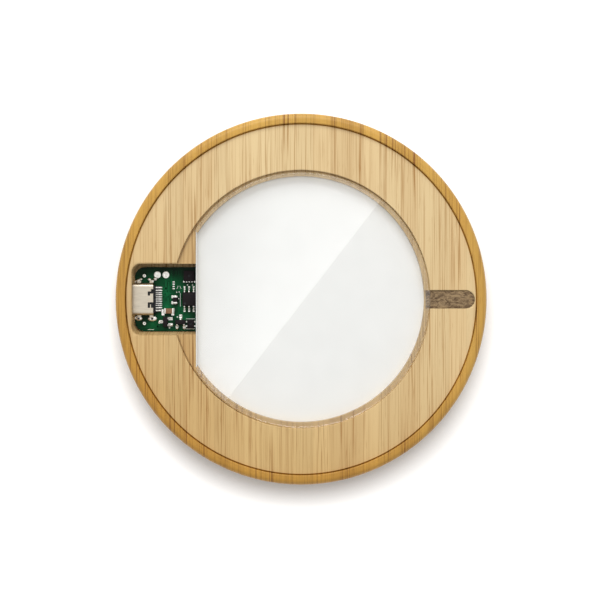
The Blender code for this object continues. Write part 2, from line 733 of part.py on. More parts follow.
def lamp_mesh():
    """One lamp: a square package with a square well in its top."""
    bm = bmesh.new()
    bmesh.ops.create_cube(bm, size=1.0)
    bmesh.ops.scale(bm, vec=(LIGHT_SIZE, LIGHT_SIZE, LIGHT_HEIGHT), verts=bm.verts)
    bmesh.ops.translate(bm, vec=(0.0, 0.0, LIGHT_HEIGHT / 2), verts=bm.verts)
    top = [face for face in bm.faces if face.normal.z > 0.5]
    bmesh.ops.inset_region(bm, faces=top, thickness=LIGHT_WALL)
    well = bmesh.ops.extrude_face_region(bm, geom=top)["geom"]
    lowered = [item for item in well if isinstance(item, bmesh.types.BMVert)]
    bmesh.ops.translate(bm, vec=(0.0, 0.0, -LIGHT_WELL), verts=lowered)
    bmesh.ops.delete(bm, geom=top, context="FACES_ONLY")
    mesh = bpy.data.meshes.new("status_light")
    bm.to_mesh(mesh)
    bm.free()
    mesh.materials.append(LAMP_PLASTIC)
    return mesh


def make_lamps():
    mesh = lamp_mesh()
    reach = board_radius - LIGHT_INSET
    for index in range(LIGHT_COUNT):
        angle = 2 * math.pi * (index + 0.5) / LIGHT_COUNT
        lamp = bpy.data.objects.new(f"status_light_{index + 1}", mesh)
        lamp.location = (reach * math.cos(angle), reach * math.sin(angle), part_seat)
        lamp.rotation_euler = (0.0, 0.0, angle)
        PARTS.objects.link(lamp)


def make_reset_switch():
    """The switch body with its well, and the button whose origin lies on the line it travels."""
    x = board_radius - SWITCH_INSET
    body = box("reset_switch", (SWITCH_SIZE, SWITCH_SIZE, SWITCH_HEIGHT), (x, 0.0, part_seat), BLACK_PLASTIC)
    top = part_seat + SWITCH_HEIGHT
    floor = top - BUTTON_DEPTH - BUTTON_TRAVEL - GAP
    well_radius = BUTTON_DIAMETER / 2 + GAP
    cut(body, cylinder("button_well", well_radius, SWITCH_HEIGHT, (x, 0.0, floor)))
    height = BUTTON_DEPTH + BUTTON_PROUD
    place = (x, 0.0, top - BUTTON_DEPTH)
    cylinder("reset_button", BUTTON_DIAMETER / 2, height, place, LAMP_PLASTIC)


def make_sensor_header():
    """A strip on the board whose pins pass through the board and the lid into the sensor's socket."""
    place = (chamber_x, header_y, part_seat)
    size = (header_length + HEADER_PITCH / 2, HEADER_WIDTH, HEADER_HEIGHT)
    strip = box("sensor_header", size, place, BLACK_PLASTIC)
    reach = part_seat - (lid_bottom - HEADER_ENGAGE)
    size = (HEADER_PIN, HEADER_PIN, reach + HEADER_HEIGHT / 2)
    for index in range(HEADER_PINS):
        x = chamber_x + (index - (HEADER_PINS - 1) / 2) * HEADER_PITCH
        join(strip, box(f"header_pin_{index + 1}", size, (x, header_y, part_seat - reach)))


def make_sensor_shell():
    """The sensor's pad, its open case with posts, partition and bearing boss, and its lid."""
    pad = rectangle(SENSOR_LENGTH - 2 * PAD_INSET, SENSOR_WIDTH - 2 * PAD_INSET)
    plate("sensor_pad", [pad], PAD_THICKNESS, (0.0, 0.0, pad_bottom), FOAM)
    case_height = lid_bottom - GAP - sensor_bottom
    size = (SENSOR_LENGTH, SENSOR_WIDTH, case_height)
    case = box("sensor_case", size, (0.0, 0.0, sensor_bottom), BLACK_PLASTIC)
    inside = (SENSOR_LENGTH - 2 * SENSOR_WALL, SENSOR_WIDTH - 2 * SENSOR_WALL, case_height)
    cut(case, box("case_inside", inside, (0.0, 0.0, sensor_floor)))
    sunk = sensor_floor - SENSOR_WALL / 2
    wall = (SENSOR_WALL, SENSOR_WIDTH - SENSOR_WALL, case_height / 2)
    join(case, box("case_partition", wall, (partition_x + SENSOR_WALL / 2, 0.0, sunk)))
    join(case, cylinder("bearing_boss", boss_radius, boss_top - sunk, (fan_x, 0.0, sunk)))
    cut(case, cylinder("boss_bore", boss_bore, SENSOR_HEIGHT, (fan_x, 0.0, sensor_floor)))
    post_height = sensor_bottom + case_height - sunk - GAP
    hole = LID_SCREW_SHANK / 2 + GAP
    for index, (x, y) in enumerate(lid_screw_places()):
        join(case, cylinder(f"case_post_{index + 1}", POST_RADIUS, post_height, (x, y, sunk)))
    for index, (x, y) in enumerate(lid_screw_places()):
        low = lid_bottom - LID_SCREW_LENGTH
        cut(case, cylinder(f"post_hole_{index + 1}", hole, SENSOR_HEIGHT, (x, y, low)))
    make_sensor_lid(hole)


def make_sensor_lid(screw_hole):
    outline = rectangle(SENSOR_LENGTH, SENSOR_WIDTH)
    outlet = circle((fan_x, 0.0), fan_radius, DISC_STEPS // 2)
    holes = [outlet, air_inlet(), header_slot()]
    holes += [circle(place, screw_hole) for place in lid_screw_places()]
    plate("sensor_lid", [outline] + holes, SENSOR_WALL, (0.0, 0.0, lid_bottom), STEEL)
    for index, place in enumerate(lid_screw_places()):
        make_screw(
            f"sensor_screw_{index + 1}",
            place,
            sensor_top + GAP,
            LID_SCREW_SHANK,
            LID_SCREW_HEAD,
            LID_SCREW_HEAD_HEIGHT,
            LID_SCREW_LENGTH,
        )


def make_sensor_optics():
    """The board in the sensor's left chamber, with the header's socket, the laser and its detector."""
    width = partition_x - chamber_left - 2 * SENSOR_BOARD_GAP
    outline = rectangle(width, 2 * sensor_board_half)
    place = (chamber_x, 0.0, sensor_board_bottom)
    plate("sensor_board", [outline], SENSOR_BOARD_THICKNESS, place, SOLDER_MASK)
    seat = sensor_board_top + GAP
    socket_top = lid_bottom - GAP
    size = (header_length + 2 * SOCKET_END_WALL, SOCKET_WIDTH, socket_top - seat)
    socket = box("sensor_socket", size, (chamber_x, header_y, seat), BLACK_PLASTIC)
    depth = HEADER_ENGAGE + GAP
    size = (header_length, HEADER_PIN + 2 * GAP, 2 * depth)
    cut(socket, box("socket_well", size, (chamber_x, header_y, lid_bottom - GAP - depth)))
    make_laser(seat)
    box("light_detector", DETECTOR, (chamber_x, -DETECTOR_OFFSET, seat), BLACK_PLASTIC)


def make_laser(seat):
    """A brass barrel lying along Y in a holder on the sensor's board."""
    bore = LASER_DIAMETER / 2 + GAP
    width = 2 * (bore + LASER_WALL)
    size = (width, LASER_HOLDER_LENGTH, width)
    holder = box("laser_holder", size, (chamber_x, LASER_OFFSET, seat), FERRITE)
    axis_height = seat + width / 2
    hole = cylinder("laser_bore", bore, 2 * LASER_HOLDER_LENGTH, (0.0, 0.0, 0.0))
    hole.location = (chamber_x, LASER_OFFSET + LASER_HOLDER_LENGTH, axis_height)
    hole.rotation_euler = (math.pi / 2, 0.0, 0.0)
    cut(holder, hole)
    barrel = cylinder("laser_barrel", LASER_DIAMETER / 2, LASER_LENGTH, (0.0, 0.0, 0.0), BRASS)
    barrel.location = (chamber_x, LASER_OFFSET + LASER_LENGTH / 2, axis_height)
    barrel.rotation_euler = (math.pi / 2, 0.0, 0.0)
    bevel(barrel, LASER_CHAMFER, 1)


def ring_profile(inner, outer, low, high):
    return [(inner, high), (outer, high), (outer, low), (inner, low)]


def make_fan():
    """Shaft, rotor and magnet about the fan's axis, with the bearing and stator that stay still."""
    axle = frame("fan_axle", (fan_x, 0.0, 0.0))
    centre = (0.0, 0.0, 0.0)
    skirt = stator_bottom
    shaft_bore = shaft_radius + GAP
    shaft_end = hub_ceiling + SHAFT_IN_HUB
    hub = [
        (0.0, hub_top),
        (hub_radius, hub_top),
        (hub_radius, skirt),
        (hub_bore, skirt),
        (hub_bore, hub_ceiling),
        (shaft_bore, hub_ceiling),
        (shaft_bore, shaft_end + GAP),
        (0.0, shaft_end + GAP),
    ]
    rotor = turned("fan_rotor", hub, centre, BLACK_PLASTIC, 2 * SMALL_STEPS)
    magnet_low = skirt + GAP
    magnet_high = hub_ceiling - GAP
    magnet = ring_profile(magnet_bore, magnet_radius, magnet_low, magnet_high)
    bearing = ring_profile(bore_radius, bearing_radius, bearing_bottom, bearing_top)
    stator = ring_profile(boss_bore, stator_radius, stator_bottom, stator_top)
    pieces = [
        rotor,
        turned("fan_magnet", magnet, centre, FERRITE, 2 * SMALL_STEPS),
        turned("fan_bearing", bearing, centre, BRONZE),
        turned("fan_stator", stator, centre, COPPER, 2 * SMALL_STEPS),
        cylinder("fan_shaft", shaft_radius, shaft_end - bearing_bottom, (0.0, 0.0, bearing_bottom), STEEL),
    ]
    for piece in pieces:
        piece.parent = axle
    join(rotor, fan_blades(skirt))


def fan_blades(low):
    """A ring of swept blades, as one flat outline round the hub's wall."""
    root = hub_radius - HUB_WALL / 4
    spacing = 360.0 / FAN_BLADES
    blade_turn = math.degrees(BLADE_THICKNESS / root)
    outline = []
    for index in range(FAN_BLADES):
        start = spacing * index
        outline += blade_side(root, start, 0.0) + blade_side(root, start, BLADE_THICKNESS)[::-1]
        between = arc((0.0, 0.0), root, start + blade_turn, start + spacing, 2 * CORNER_STEPS)
        outline += between[1:-1]
    hole = circle((0.0, 0.0), hub_radius - 3 * HUB_WALL / 4, 2 * SMALL_STEPS)
    return plate("fan_blades", [outline, hole], BLADE_HEIGHT, (0.0, 0.0, low + GAP))


def blade_side(root, start, offset):
    """One side of a blade from just inside the hub's outside to the tip, swept back as it goes out."""
    points = []
    for step in range(CORNER_STEPS + 1):
        share = step / CORNER_STEPS
        radius = root + (fan_radius - root) * share
        angle = math.radians(start + BLADE_SWEEP * share) + offset / radius
        points.append((radius * math.cos(angle), radius * math.sin(angle)))
    return points


def main():
    make_body()
    make_slot_filter()
    make_window()
    make_light_diffuser()
    make_main_board()
    make_board_screws()
    make_usb_socket()
    make_chips()
    make_chip_parts()
    make_air_sensors()
    make_controller()
    make_lamps()
    make_reset_switch()
    make_sensor_header()
    make_sensor_shell()
    make_sensor_optics()
    make_fan()


main()
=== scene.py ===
"""Finished pieces, materials and stage of a bamboo air quality monitor, laid out as a Blender add-on."""

import math
from functools import cache

import bmesh
import bpy
from bpy.props import FloatProperty, FloatVectorProperty, PointerProperty
from mathutils import Matrix, Vector


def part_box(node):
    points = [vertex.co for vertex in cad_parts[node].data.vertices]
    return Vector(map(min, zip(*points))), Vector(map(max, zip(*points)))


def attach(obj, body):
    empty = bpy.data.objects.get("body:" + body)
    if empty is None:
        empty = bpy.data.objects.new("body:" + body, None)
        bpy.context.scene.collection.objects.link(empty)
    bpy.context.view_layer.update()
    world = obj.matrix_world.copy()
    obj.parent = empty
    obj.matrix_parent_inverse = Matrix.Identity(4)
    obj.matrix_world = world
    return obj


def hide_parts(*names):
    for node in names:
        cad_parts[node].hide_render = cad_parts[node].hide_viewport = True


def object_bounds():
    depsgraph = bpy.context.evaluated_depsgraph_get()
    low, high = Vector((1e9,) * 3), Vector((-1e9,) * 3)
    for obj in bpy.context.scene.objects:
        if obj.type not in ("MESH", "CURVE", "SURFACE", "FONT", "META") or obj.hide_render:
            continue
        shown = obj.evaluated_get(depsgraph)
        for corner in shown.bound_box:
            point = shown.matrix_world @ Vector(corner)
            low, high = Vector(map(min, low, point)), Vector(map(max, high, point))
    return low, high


bl_info = {
    "name": "Bamboo air quality monitor",
    "version": (1, 0, 0),
    "blender": (4, 5, 0),
    "location": "View3D > Sidebar > Monitor",
    "description": "Finished pieces, materials and stage for the packed solids of an air quality monitor",
    "category": "Object",
}

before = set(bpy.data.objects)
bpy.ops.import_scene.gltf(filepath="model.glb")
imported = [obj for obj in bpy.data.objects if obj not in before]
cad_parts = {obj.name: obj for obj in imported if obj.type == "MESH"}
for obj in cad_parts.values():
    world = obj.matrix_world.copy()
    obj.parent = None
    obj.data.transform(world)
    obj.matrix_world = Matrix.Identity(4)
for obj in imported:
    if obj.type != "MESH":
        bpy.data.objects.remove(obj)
MM = 0.001
CAD_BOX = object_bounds()


def span(node):
    """Lowest and highest corner of a CAD node, in millimetres."""
    low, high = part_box(node)
    return low / MM, high / MM


# Levels and edges that the solids give, in millimetres
RIM_LEVEL = CAD_BOX[1].z / MM
BODY_RADIUS = CAD_BOX[1].x / MM
BOARD_LOW, BOARD_HIGH = span("main_board")
BOARD_TOP = BOARD_HIGH.z
WINDOW_LOW, WINDOW_HIGH = span("clear_window")
SHEET_LOW, SHEET_HIGH = span("light_diffuser")
STRIP_LOW, STRIP_HIGH = span("slot_filter")
SHELL_LOW, SHELL_HIGH = span("usb_shell")
NODE_GAP = 0.3
LEDGE_LEVEL = WINDOW_LOW.z - NODE_GAP
WELL_LEVEL = SHEET_LOW.z - NODE_GAP
BOARD_SEAT = BOARD_LOW.z - NODE_GAP

# How far the sheet is drawn past its solid, at its fold and at its round edge
SHEET_REACH = 0.85
SHEET_EASE = -0.15
# How far the window lies off the middle of its recess, along X and along Y
PANE_PUSH = 0.18
# How far the felt is drawn past its solid, so that it fills its slot
FELT_SWELL = 0.25

# Cuts in the wood, in millimetres
CUT_IN = 20.0
POCKET_END = -46.6
POCKET_SIDE = 9.8
POCKET_CORNER = 2.3
POCKET_DRAFT = (0.985, 0.9556, 1.0)
SLOT_END = 47.7
SLOT_SIDE = 2.5
SLOT_CORNER = 2.49
CAVITY_RADIUS = 31.6
CAVITY_CHORD = -25.6
CHAMBER_LOW = (-19.4, -17.9, 2.5)
CHAMBER_HIGH = (19.4, 17.9, BOARD_SEAT + 1.0)
CHAMBER_CORNER = 1.2
HOLE_OUT, HOLE_IN = -50.2, -44.0
HOLE_SIDE, HOLE_RISE, HOLE_CORNER, HOLE_LIP = 6.4, 3.2, 2.6, 0.5
# Clearance of the sheet's well round the sheet
WELL_ROOM = 0.05
# The cutter's relief at the foot of the recess: how far out of true, how far in, and how high
RELIEF_SHIFT, RELIEF_INSET, RELIEF_RISE = 0.2, 0.02, 0.3

# Steps round a large and a middling circle
FINE = 256
FAIR = 192


def linear(code):
    """Linear colour of an sRGB hex value."""
    parts = [int(code[place:place + 2], 16) / 255 for place in (1, 3, 5)]
    return *(p / 12.92 if p <= 0.04045 else ((p + 0.055) / 1.055) ** 2.4 for p in parts), 1.0


def toned(tint, share=1.0):
    """A property's colour, lighter or darker by a share, with full cover."""
    return *(part * share for part in tint), 1.0


def length(name, description, default):
    """A length property whose default is given in millimetres."""
    return FloatProperty(
        name=name, description=description, default=default * MM, min=0.0, unit="LENGTH", precision=5
    )


def colour(name, description, code):
    """A colour property whose default is given as an sRGB hex value."""
    return FloatVectorProperty(
        name=name, description=description, default=linear(code)[:3], min=0.0, max=1.0, subtype="COLOR"
    )


def strength(name, description, default, unit="NONE"):
    """A number property that stays above nought."""
    return FloatProperty(name=name, description=description, default=default, min=0.0, unit=unit)


class MonitorBody(bpy.types.PropertyGroup):
    """Sizes and colours of the bamboo body and the strip in its slot."""

    rim_width: length("Rim width", "Width of the raised rim, from the outside inwards", 2.7)
    rim_step: length("Rim step", "Drop from the rim to the ring face", 0.9)
    rim_round: length("Rim round", "Radius of the rim's outer edge", 1.6)
    groove: length("Groove", "Width of the cutter's groove at the foot of the rim", 0.35)
    base_round: length("Base round", "Radius of the edge at the base", 2.2)
    recess_radius: length("Recess radius", "Radius of the recess that holds the window", 35.5)
    lip: length("Lip", "Width of the eased edge at the recess, the pocket and the slot", 0.3)
    strip_width: length("Bamboo strip", "Mean width of the glued bamboo strips", 4.6)
    fibre_width: length("Fibre width", "Spacing of the fibre bundles across the grain", 0.3)
    routed_light: colour("Routed, light", "Pale wood of the routed faces", "#E2C998")
    routed_dark: colour("Routed, dark", "Fibre lines of the routed faces", "#A67B43")
    # Painted shade: the ledge in the recess is drawn darker and browner than the routed faces
    burnished_light: colour("Shaded, light", "Pale wood of the ledge that the cutter rubbed", "#DABC86")
    burnished_dark: colour("Shaded, dark", "Fibre lines of the ledge", "#936C3A")
    # Painted shadow: the ledge under the window is drawn darker and greyer, since the clear pane casts no
    # shadow
    seat_light: colour("Shadowed, light", "Pale wood of the ledge where the window sits on it", "#C6AB79")
    seat_dark: colour("Shadowed, dark", "Fibre lines of the ledge where the window sits on it", "#866335")
    lacquered_light: colour("Lacquered, light", "Pale wood under the lacquer of rim and sides", "#D1A54F")
    lacquered_dark: colour("Lacquered, dark", "Fibre lines under the lacquer", "#7A4510")
    rosy: colour("Rosy", "Tint of the rosier strips of the wood", "#FFFAF5")
    # Tint that darkens and warms the wood towards its lower side
    darkened: colour("Darkened", "Tint of the wood where it has aged, towards the lower side", "#ECE1CA")
    felt_light: colour("Felt, light", "Raised fibres of the strip in the slot", "#A18763")
    felt_dark: colour("Felt, dark", "Hollows of the strip in the slot", "#4E3A26")


class MonitorWindow(bpy.types.PropertyGroup):
    """Sizes and colours of the window and the sheet under it."""

    edge: length("Window edge", "Width of the polished bevel round the window", 0.42)
    sheet_thickness: length("Sheet thickness", "Thickness of the white sheet under the window", 0.3)
    sheet: colour("Sheet", "White of the sheet under the window", "#EDEDEA")
    # Painted shade: this grey darkens the sheet towards its folded edge
    shade: colour("Shade", "Grey of the sheet towards its folded edge, where it curls down", "#F3F3F3")
    fold: colour("Fold", "Cream of the sheet's folded edge", "#DCD0B8")


class MonitorBoard(bpy.types.PropertyGroup):
    """Colours of the circuit board and the parts on it."""

    mask: colour("Solder mask", "Green of the solder mask over bare board", "#04351B")
    trace: colour("Traces", "Green of the solder mask over copper", "#116E3F")
    shell: colour("Port shell", "Plated steel of the port's shell", "#CBC1AF")
    chip: colour("Chips", "Black of the moulded chips", "#130E10")


class MonitorStage(bpy.types.PropertyGroup):
    """Camera and light."""

    camera_height: length("Camera height", "Height of the camera above the rim", 560.0)
    lens: FloatProperty(name="Lens", description="Focal length in millimetres", default=122.6, min=20.0)
    key: strength("Key", "Power of the soft light at the top", 4.5, "POWER")
    fill: strength("Fill", "Power of the small light overhead", 2.0, "POWER")
    overhead: strength("Overhead", "Power of the soft light that the window mirrors", 0.17, "POWER")
    ambient: strength("Ambient", "Strength of the light from all round", 0.5)
    floor_glow: strength("Floor glow", "White that the eye sees on the floor", 0.53)


def add_node(tree, kind, inputs=None, **settings):
    """Adds a node, sets its settings, and sets or links its inputs."""
    node = tree.nodes.new(kind)
    for name, value in settings.items():
        setattr(node, name, value)
    for name, value in (inputs or {}).items():
        if isinstance(value, bpy.types.NodeSocket):
            tree.links.new(value, node.inputs[name])
        else:
            node.inputs[name].default_value = value
    return node


def new_material(name, **sockets):
    """A new material with constants set on its shader, and its node tree."""
    material = bpy.data.materials.new(name)
    material.use_nodes = True
    shader = material.node_tree.nodes["Principled BSDF"]
    for socket, value in sockets.items():
        shader.inputs[socket.replace("_", " ").title().replace("Ior", "IOR")].default_value = value
    return material, material.node_tree


def shaded(tree, **sockets):
    """Links results to the inputs of a tree's shader."""
    shader = tree.nodes["Principled BSDF"]
    for socket, result in sockets.items():
        tree.links.new(result, shader.inputs[socket.replace("_", " ").title()])


def recoloured(material, change, *values):
    """A material whose colour has gone through one more change."""
    tree = material.node_tree
    link = tree.nodes["Principled BSDF"].inputs["Base Color"].links[0]
    shaded(tree, base_color=change(tree, link.from_socket, *values))
    return material


def tinted_along(tree, base, direction, start, end, tint):
    """A colour that takes on a tint along a direction, between two distances in millimetres."""
    place = add_node(tree, "ShaderNodeTexCoord").outputs["Object"]
    toward = add_node(
        tree, "ShaderNodeVectorMath", {0: place, 1: direction}, operation="DOT_PRODUCT"
    ).outputs["Value"]
    share = add_node(
        tree, "ShaderNodeMapRange", {"Value": toward, "From Min": start * MM, "From Max": end * MM}
    ).outputs["Result"]
    return add_node(
        tree, "ShaderNodeMix", {0: share, 6: base, 7: toned(tint)}, data_type="RGBA", blend_type="MULTIPLY"
    ).outputs[2]


def wall_shaded(tree, base):
    """Painted shade: a colour that deepens where a wall on the side of the key light stands within a few
    millimetres.
    """
    lean = add_node(tree, "ShaderNodeCombineXYZ", {0: -0.1, 1: 0.85, 2: 0.52}).outputs["Vector"]
    room = add_node(
        tree, "ShaderNodeAmbientOcclusion", {"Distance": 5.0 * MM, "Normal": lean}, samples=16
    ).outputs["AO"]
    share = add_node(
        tree, "ShaderNodeMapRange",
        {"Value": room, "From Min": 0.3, "From Max": 0.75, "To Min": 1.0, "To Max": 0.0},
    ).outputs["Result"]
    wall_shade_grey = linear("#757575")
    return add_node(
        tree, "ShaderNodeMix", {0: share, 6: base, 7: wall_shade_grey}, data_type="RGBA", blend_type="MULTIPLY"
    ).outputs[2]


def grained(name, light, dark, grain, rough, bump, stretch=(1.0, 1.0, 1.0), detail=3.0, **sockets):
    """A material whose tone, roughness and height follow a grain of a real size in millimetres."""
    light, dark = (linear(tint) if isinstance(tint, str) else tint for tint in (light, dark))
    material, tree = new_material(name, **sockets)
    place = add_node(tree, "ShaderNodeTexCoord").outputs["Object"]
    scale = [part / (grain * MM) for part in stretch]
    place = add_node(tree, "ShaderNodeMapping", {"Vector": place, "Scale": scale}).outputs["Vector"]
    level = add_node(
        tree, "ShaderNodeTexNoise", {"Vector": place, "Scale": 1.0, "Detail": detail, "Roughness": 0.6}
    ).outputs["Fac"]
    tone = add_node(
        tree, "ShaderNodeMapRange", {"Value": level, "From Min": 0.32, "From Max": 0.68}
    ).outputs["Result"]
    mixed = add_node(tree, "ShaderNodeMix", {0: tone, 6: dark, 7: light}, data_type="RGBA").outputs[2]
    gloss = add_node(
        tree, "ShaderNodeMapRange",
        {"Value": level, "From Min": 0.3, "From Max": 0.7, "To Min": rough[1], "To Max": rough[0]},
    ).outputs["Result"]
    height = add_node(
        tree, "ShaderNodeBump", {"Height": level, "Strength": 0.7, "Distance": bump * MM}
    ).outputs["Normal"]
    shaded(tree, base_color=mixed, roughness=gloss, normal=height)
    return material


def bamboo(kind, rough, **sockets):
    """Laminated bamboo: strips glued side by side, with fibre bundles and pores along Y."""
    body = bpy.context.scene.monitor_body
    light, dark = (toned(getattr(body, f"{kind}_{tone}")) for tone in ("light", "dark"))
    material, tree = new_material(f"{kind} bamboo", IOR=1.5, **sockets)
    place = add_node(tree, "ShaderNodeTexCoord").outputs["Object"]
    across = add_node(tree, "ShaderNodeSeparateXYZ", {"Vector": place}).outputs["X"]
    count = add_node(
        tree, "ShaderNodeMath", {0: across, 1: 1 / body.strip_width}, operation="MULTIPLY"
    ).outputs[0]
    row = {"W": count, "Scale": 1.0, "Randomness": 0.6}
    strips = add_node(tree, "ShaderNodeTexVoronoi", row, voronoi_dimensions="1D").outputs["Color"]
    seams = add_node(
        tree, "ShaderNodeTexVoronoi", row, voronoi_dimensions="1D", feature="DISTANCE_TO_EDGE"
    ).outputs["Distance"]
    seam = add_node(
        tree, "ShaderNodeMapRange",
        {"Value": seams, "From Min": 0.0, "From Max": 0.03, "To Min": 1.0, "To Max": 0.0},
    ).outputs["Result"]
    shift = add_node(
        tree, "ShaderNodeVectorMath", {0: strips, 1: (40.0, 40.0, 40.0)}, operation="MULTIPLY"
    ).outputs["Vector"]
    parts = add_node(tree, "ShaderNodeSeparateColor", {"Color": strips}).outputs

    def along_grain(width, run, detail):
        """Noise drawn out along the grain, with its own place in each strip."""
        scale = (1 / width, 1 / (run * MM), 1 / (run * MM))
        spot = add_node(
            tree, "ShaderNodeVectorMath", {0: place, 1: scale, 2: shift}, operation="MULTIPLY_ADD"
        ).outputs["Vector"]
        return add_node(
            tree, "ShaderNodeTexNoise", {"Vector": spot, "Scale": 1.0, "Detail": detail, "Roughness": 0.55}
        ).outputs["Fac"]

    # Fibre bundles are a few tenths of a millimetre apart and run for a few centimetres
    fibre = along_grain(body.fibre_width, 28.0, 2.0)
    lines = add_node(
        tree, "ShaderNodeMapRange", {"Value": fibre, "From Min": 0.5, "From Max": 0.64}
    ).outputs["Result"]
    # They stand closer and darker towards the outside of the culm, so that they show in groups
    crowd = add_node(
        tree, "ShaderNodeMapRange",
        {
            "Value": along_grain(2.2 * MM, 70.0, 1.0), "From Min": 0.35, "From Max": 0.68,
            "To Min": 0.3, "To Max": 1.25,
        },
    ).outputs["Result"]
    lines = add_node(tree, "ShaderNodeMath", {0: lines, 1: crowd}, operation="MULTIPLY").outputs[0]
    # Pores are short dark dashes, drawn wider than the real 0.1 mm so that they show
    dash = along_grain(0.28 * MM, 5.5, 1.0)
    pores = add_node(
        tree, "ShaderNodeMapRange", {"Value": dash, "From Min": 0.66, "From Max": 0.75}
    ).outputs["Result"]
    # Slow change of tone along each strip
    cloud = along_grain(3.0 * MM, 45.0, 1.0)
    tone = add_node(tree, "ShaderNodeMath", {0: parts["Red"], 1: 0.2}, operation="MULTIPLY").outputs[0]
    for value, share in ((lines, 0.58), (pores, 0.22), (seam, 0.18), (cloud, 0.26)):
        tone = add_node(
            tree, "ShaderNodeMath", {0: value, 1: share, 2: tone}, operation="MULTIPLY_ADD"
        ).outputs[0]
    tone = add_node(
        tree, "ShaderNodeMapRange", {"Value": tone, "From Min": 0.12, "From Max": 1.0}
    ).outputs["Result"]
    mixed = add_node(tree, "ShaderNodeMix", {0: tone, 6: light, 7: dark}, data_type="RGBA").outputs[2]
    mixed = add_node(
        tree, "ShaderNodeMix", {0: parts["Green"], 6: mixed, 7: toned(body.rosy)},
        data_type="RGBA", blend_type="MULTIPLY",
    ).outputs[2]
    # The wood is tinted darker and warmer towards its lower side, over about the width of the ring
    mixed = tinted_along(tree, mixed, (-0.45, -0.89, 0.0), -5.0, 40.0, body.darkened)
    gloss = add_node(
        tree, "ShaderNodeMapRange", {"Value": tone, "To Min": rough[0], "To Max": rough[1]}
    ).outputs["Result"]
    height = add_node(
        tree, "ShaderNodeBump", {"Height": tone, "Strength": 0.5, "Distance": 0.06 * MM}, invert=True
    ).outputs["Normal"]
    shaded(tree, base_color=mixed, roughness=gloss, normal=height)
    return material


@cache
def routed_bamboo():
    """Bamboo fresh from the router: pale, dull, with open fibres."""
    return bamboo("routed", (0.5, 0.68))


@cache
def ledge_shade_bamboo():
    """Bamboo of the recess ledge with painted shade: drawn a shade browner and darker than the routed faces,
    with closed fibres.
    """
    return bamboo("burnished", (0.42, 0.55))


@cache
def pane_shadow_bamboo():
    """Painted shadow: bamboo of the ledge under the window, drawn darker and greyer for the shadow that the
    clear pane does not cast.
    """
    return bamboo("seat", (0.42, 0.55))


@cache
def lacquered_bamboo():
    """Bamboo under thin lacquer: golden, deeper in tone, with a soft gloss."""
    return bamboo("lacquered", (0.4, 0.52), specular_ior_level=0.3, coat_weight=0.1, coat_roughness=0.25)


@cache
def wool_felt():
    """Pressed felt: a dull mottled nap, with tufts about a millimetre across and fine hairs on them."""
    body = bpy.context.scene.monitor_body
    material, tree = new_material("pressed wool felt", IOR=1.45, sheen_weight=0.15, sheen_roughness=0.6)
    place = add_node(tree, "ShaderNodeTexCoord").outputs["Object"]
    place = add_node(
        tree, "ShaderNodeMapping", {"Vector": place, "Scale": (0.55, 1.0, 1.0)}
    ).outputs["Vector"]
    tufts = add_node(
        tree, "ShaderNodeTexNoise",
        {"Vector": place, "Scale": 1 / (1.1 * MM), "Detail": 3.0, "Roughness": 0.6, "Distortion": 1.6},
    ).outputs["Fac"]
    hairs = add_node(
        tree, "ShaderNodeTexNoise",
        {"Vector": place, "Scale": 1 / (0.3 * MM), "Detail": 2.0, "Distortion": 2.0},
    ).outputs["Fac"]
    nap = add_node(
        tree, "ShaderNodeMath", {0: hairs, 1: 0.45, 2: tufts}, operation="MULTIPLY_ADD"
    ).outputs[0]
    tone = add_node(
        tree, "ShaderNodeMapRange", {"Value": nap, "From Min": 0.56, "From Max": 0.88}
    ).outputs["Result"]
    mixed = add_node(
        tree, "ShaderNodeMix", {0: tone, 6: toned(body.felt_dark), 7: toned(body.felt_light)},
        data_type="RGBA",
    ).outputs[2]
    gloss = add_node(
        tree, "ShaderNodeMapRange", {"Value": tone, "To Min": 0.98, "To Max": 0.85}
    ).outputs["Result"]
    height = add_node(
        tree, "ShaderNodeBump", {"Height": nap, "Strength": 0.8, "Distance": 0.25 * MM}
    ).outputs["Normal"]
    shaded(tree, base_color=mixed, roughness=gloss, normal=height)
    return material


@cache
def cast_acrylic():
    """Clear cast acrylic: colourless, polished, with the faintest haze from handling."""
    material, tree = new_material("clear cast acrylic", IOR=1.49, transmission_weight=1.0)
    place = add_node(tree, "ShaderNodeTexCoord").outputs["Object"]
    haze = add_node(
        tree, "ShaderNodeTexNoise", {"Vector": place, "Scale": 1 / (9.0 * MM), "Detail": 4.0}
    ).outputs["Fac"]
    gloss = add_node(
        tree, "ShaderNodeMapRange",
        {"Value": haze, "From Min": 0.3, "From Max": 0.7, "To Min": 0.0, "To Max": 0.008},
    ).outputs["Result"]
    tint = add_node(
        tree, "ShaderNodeMix", {0: haze, 6: linear("#FFFFFF"), 7: linear("#FCFDFD")}, data_type="RGBA"
    ).outputs[2]
    shaded(tree, base_color=tint, roughness=gloss)
    return material


@cache
def opal_film():
    """White polyester film: an even dull white with a trace of warm mottling, and painted shade that greys it
    towards its fold.
    """
    window = bpy.context.scene.monitor_window
    light, dark = toned(window.sheet), toned(window.sheet, 0.97)
    film = grained("opal polyester film", light, dark, 6.0, (0.5, 0.6), 0.004, IOR=1.57)
    return recoloured(film, tinted_along, (-0.99, 0.15, 0.0), 10.0, 30.0, window.shade)


@cache
def creased_film():
    """White film stretched over a fold: a dull cream with fine stress marks along the crease."""
    fold = bpy.context.scene.monitor_window.fold
    return grained(
        "creased polyester film", toned(fold), toned(fold, 0.85), 0.8, (0.5, 0.65), 0.01,
        stretch=(1.0, 0.2, 1.0), IOR=1.57,
    )


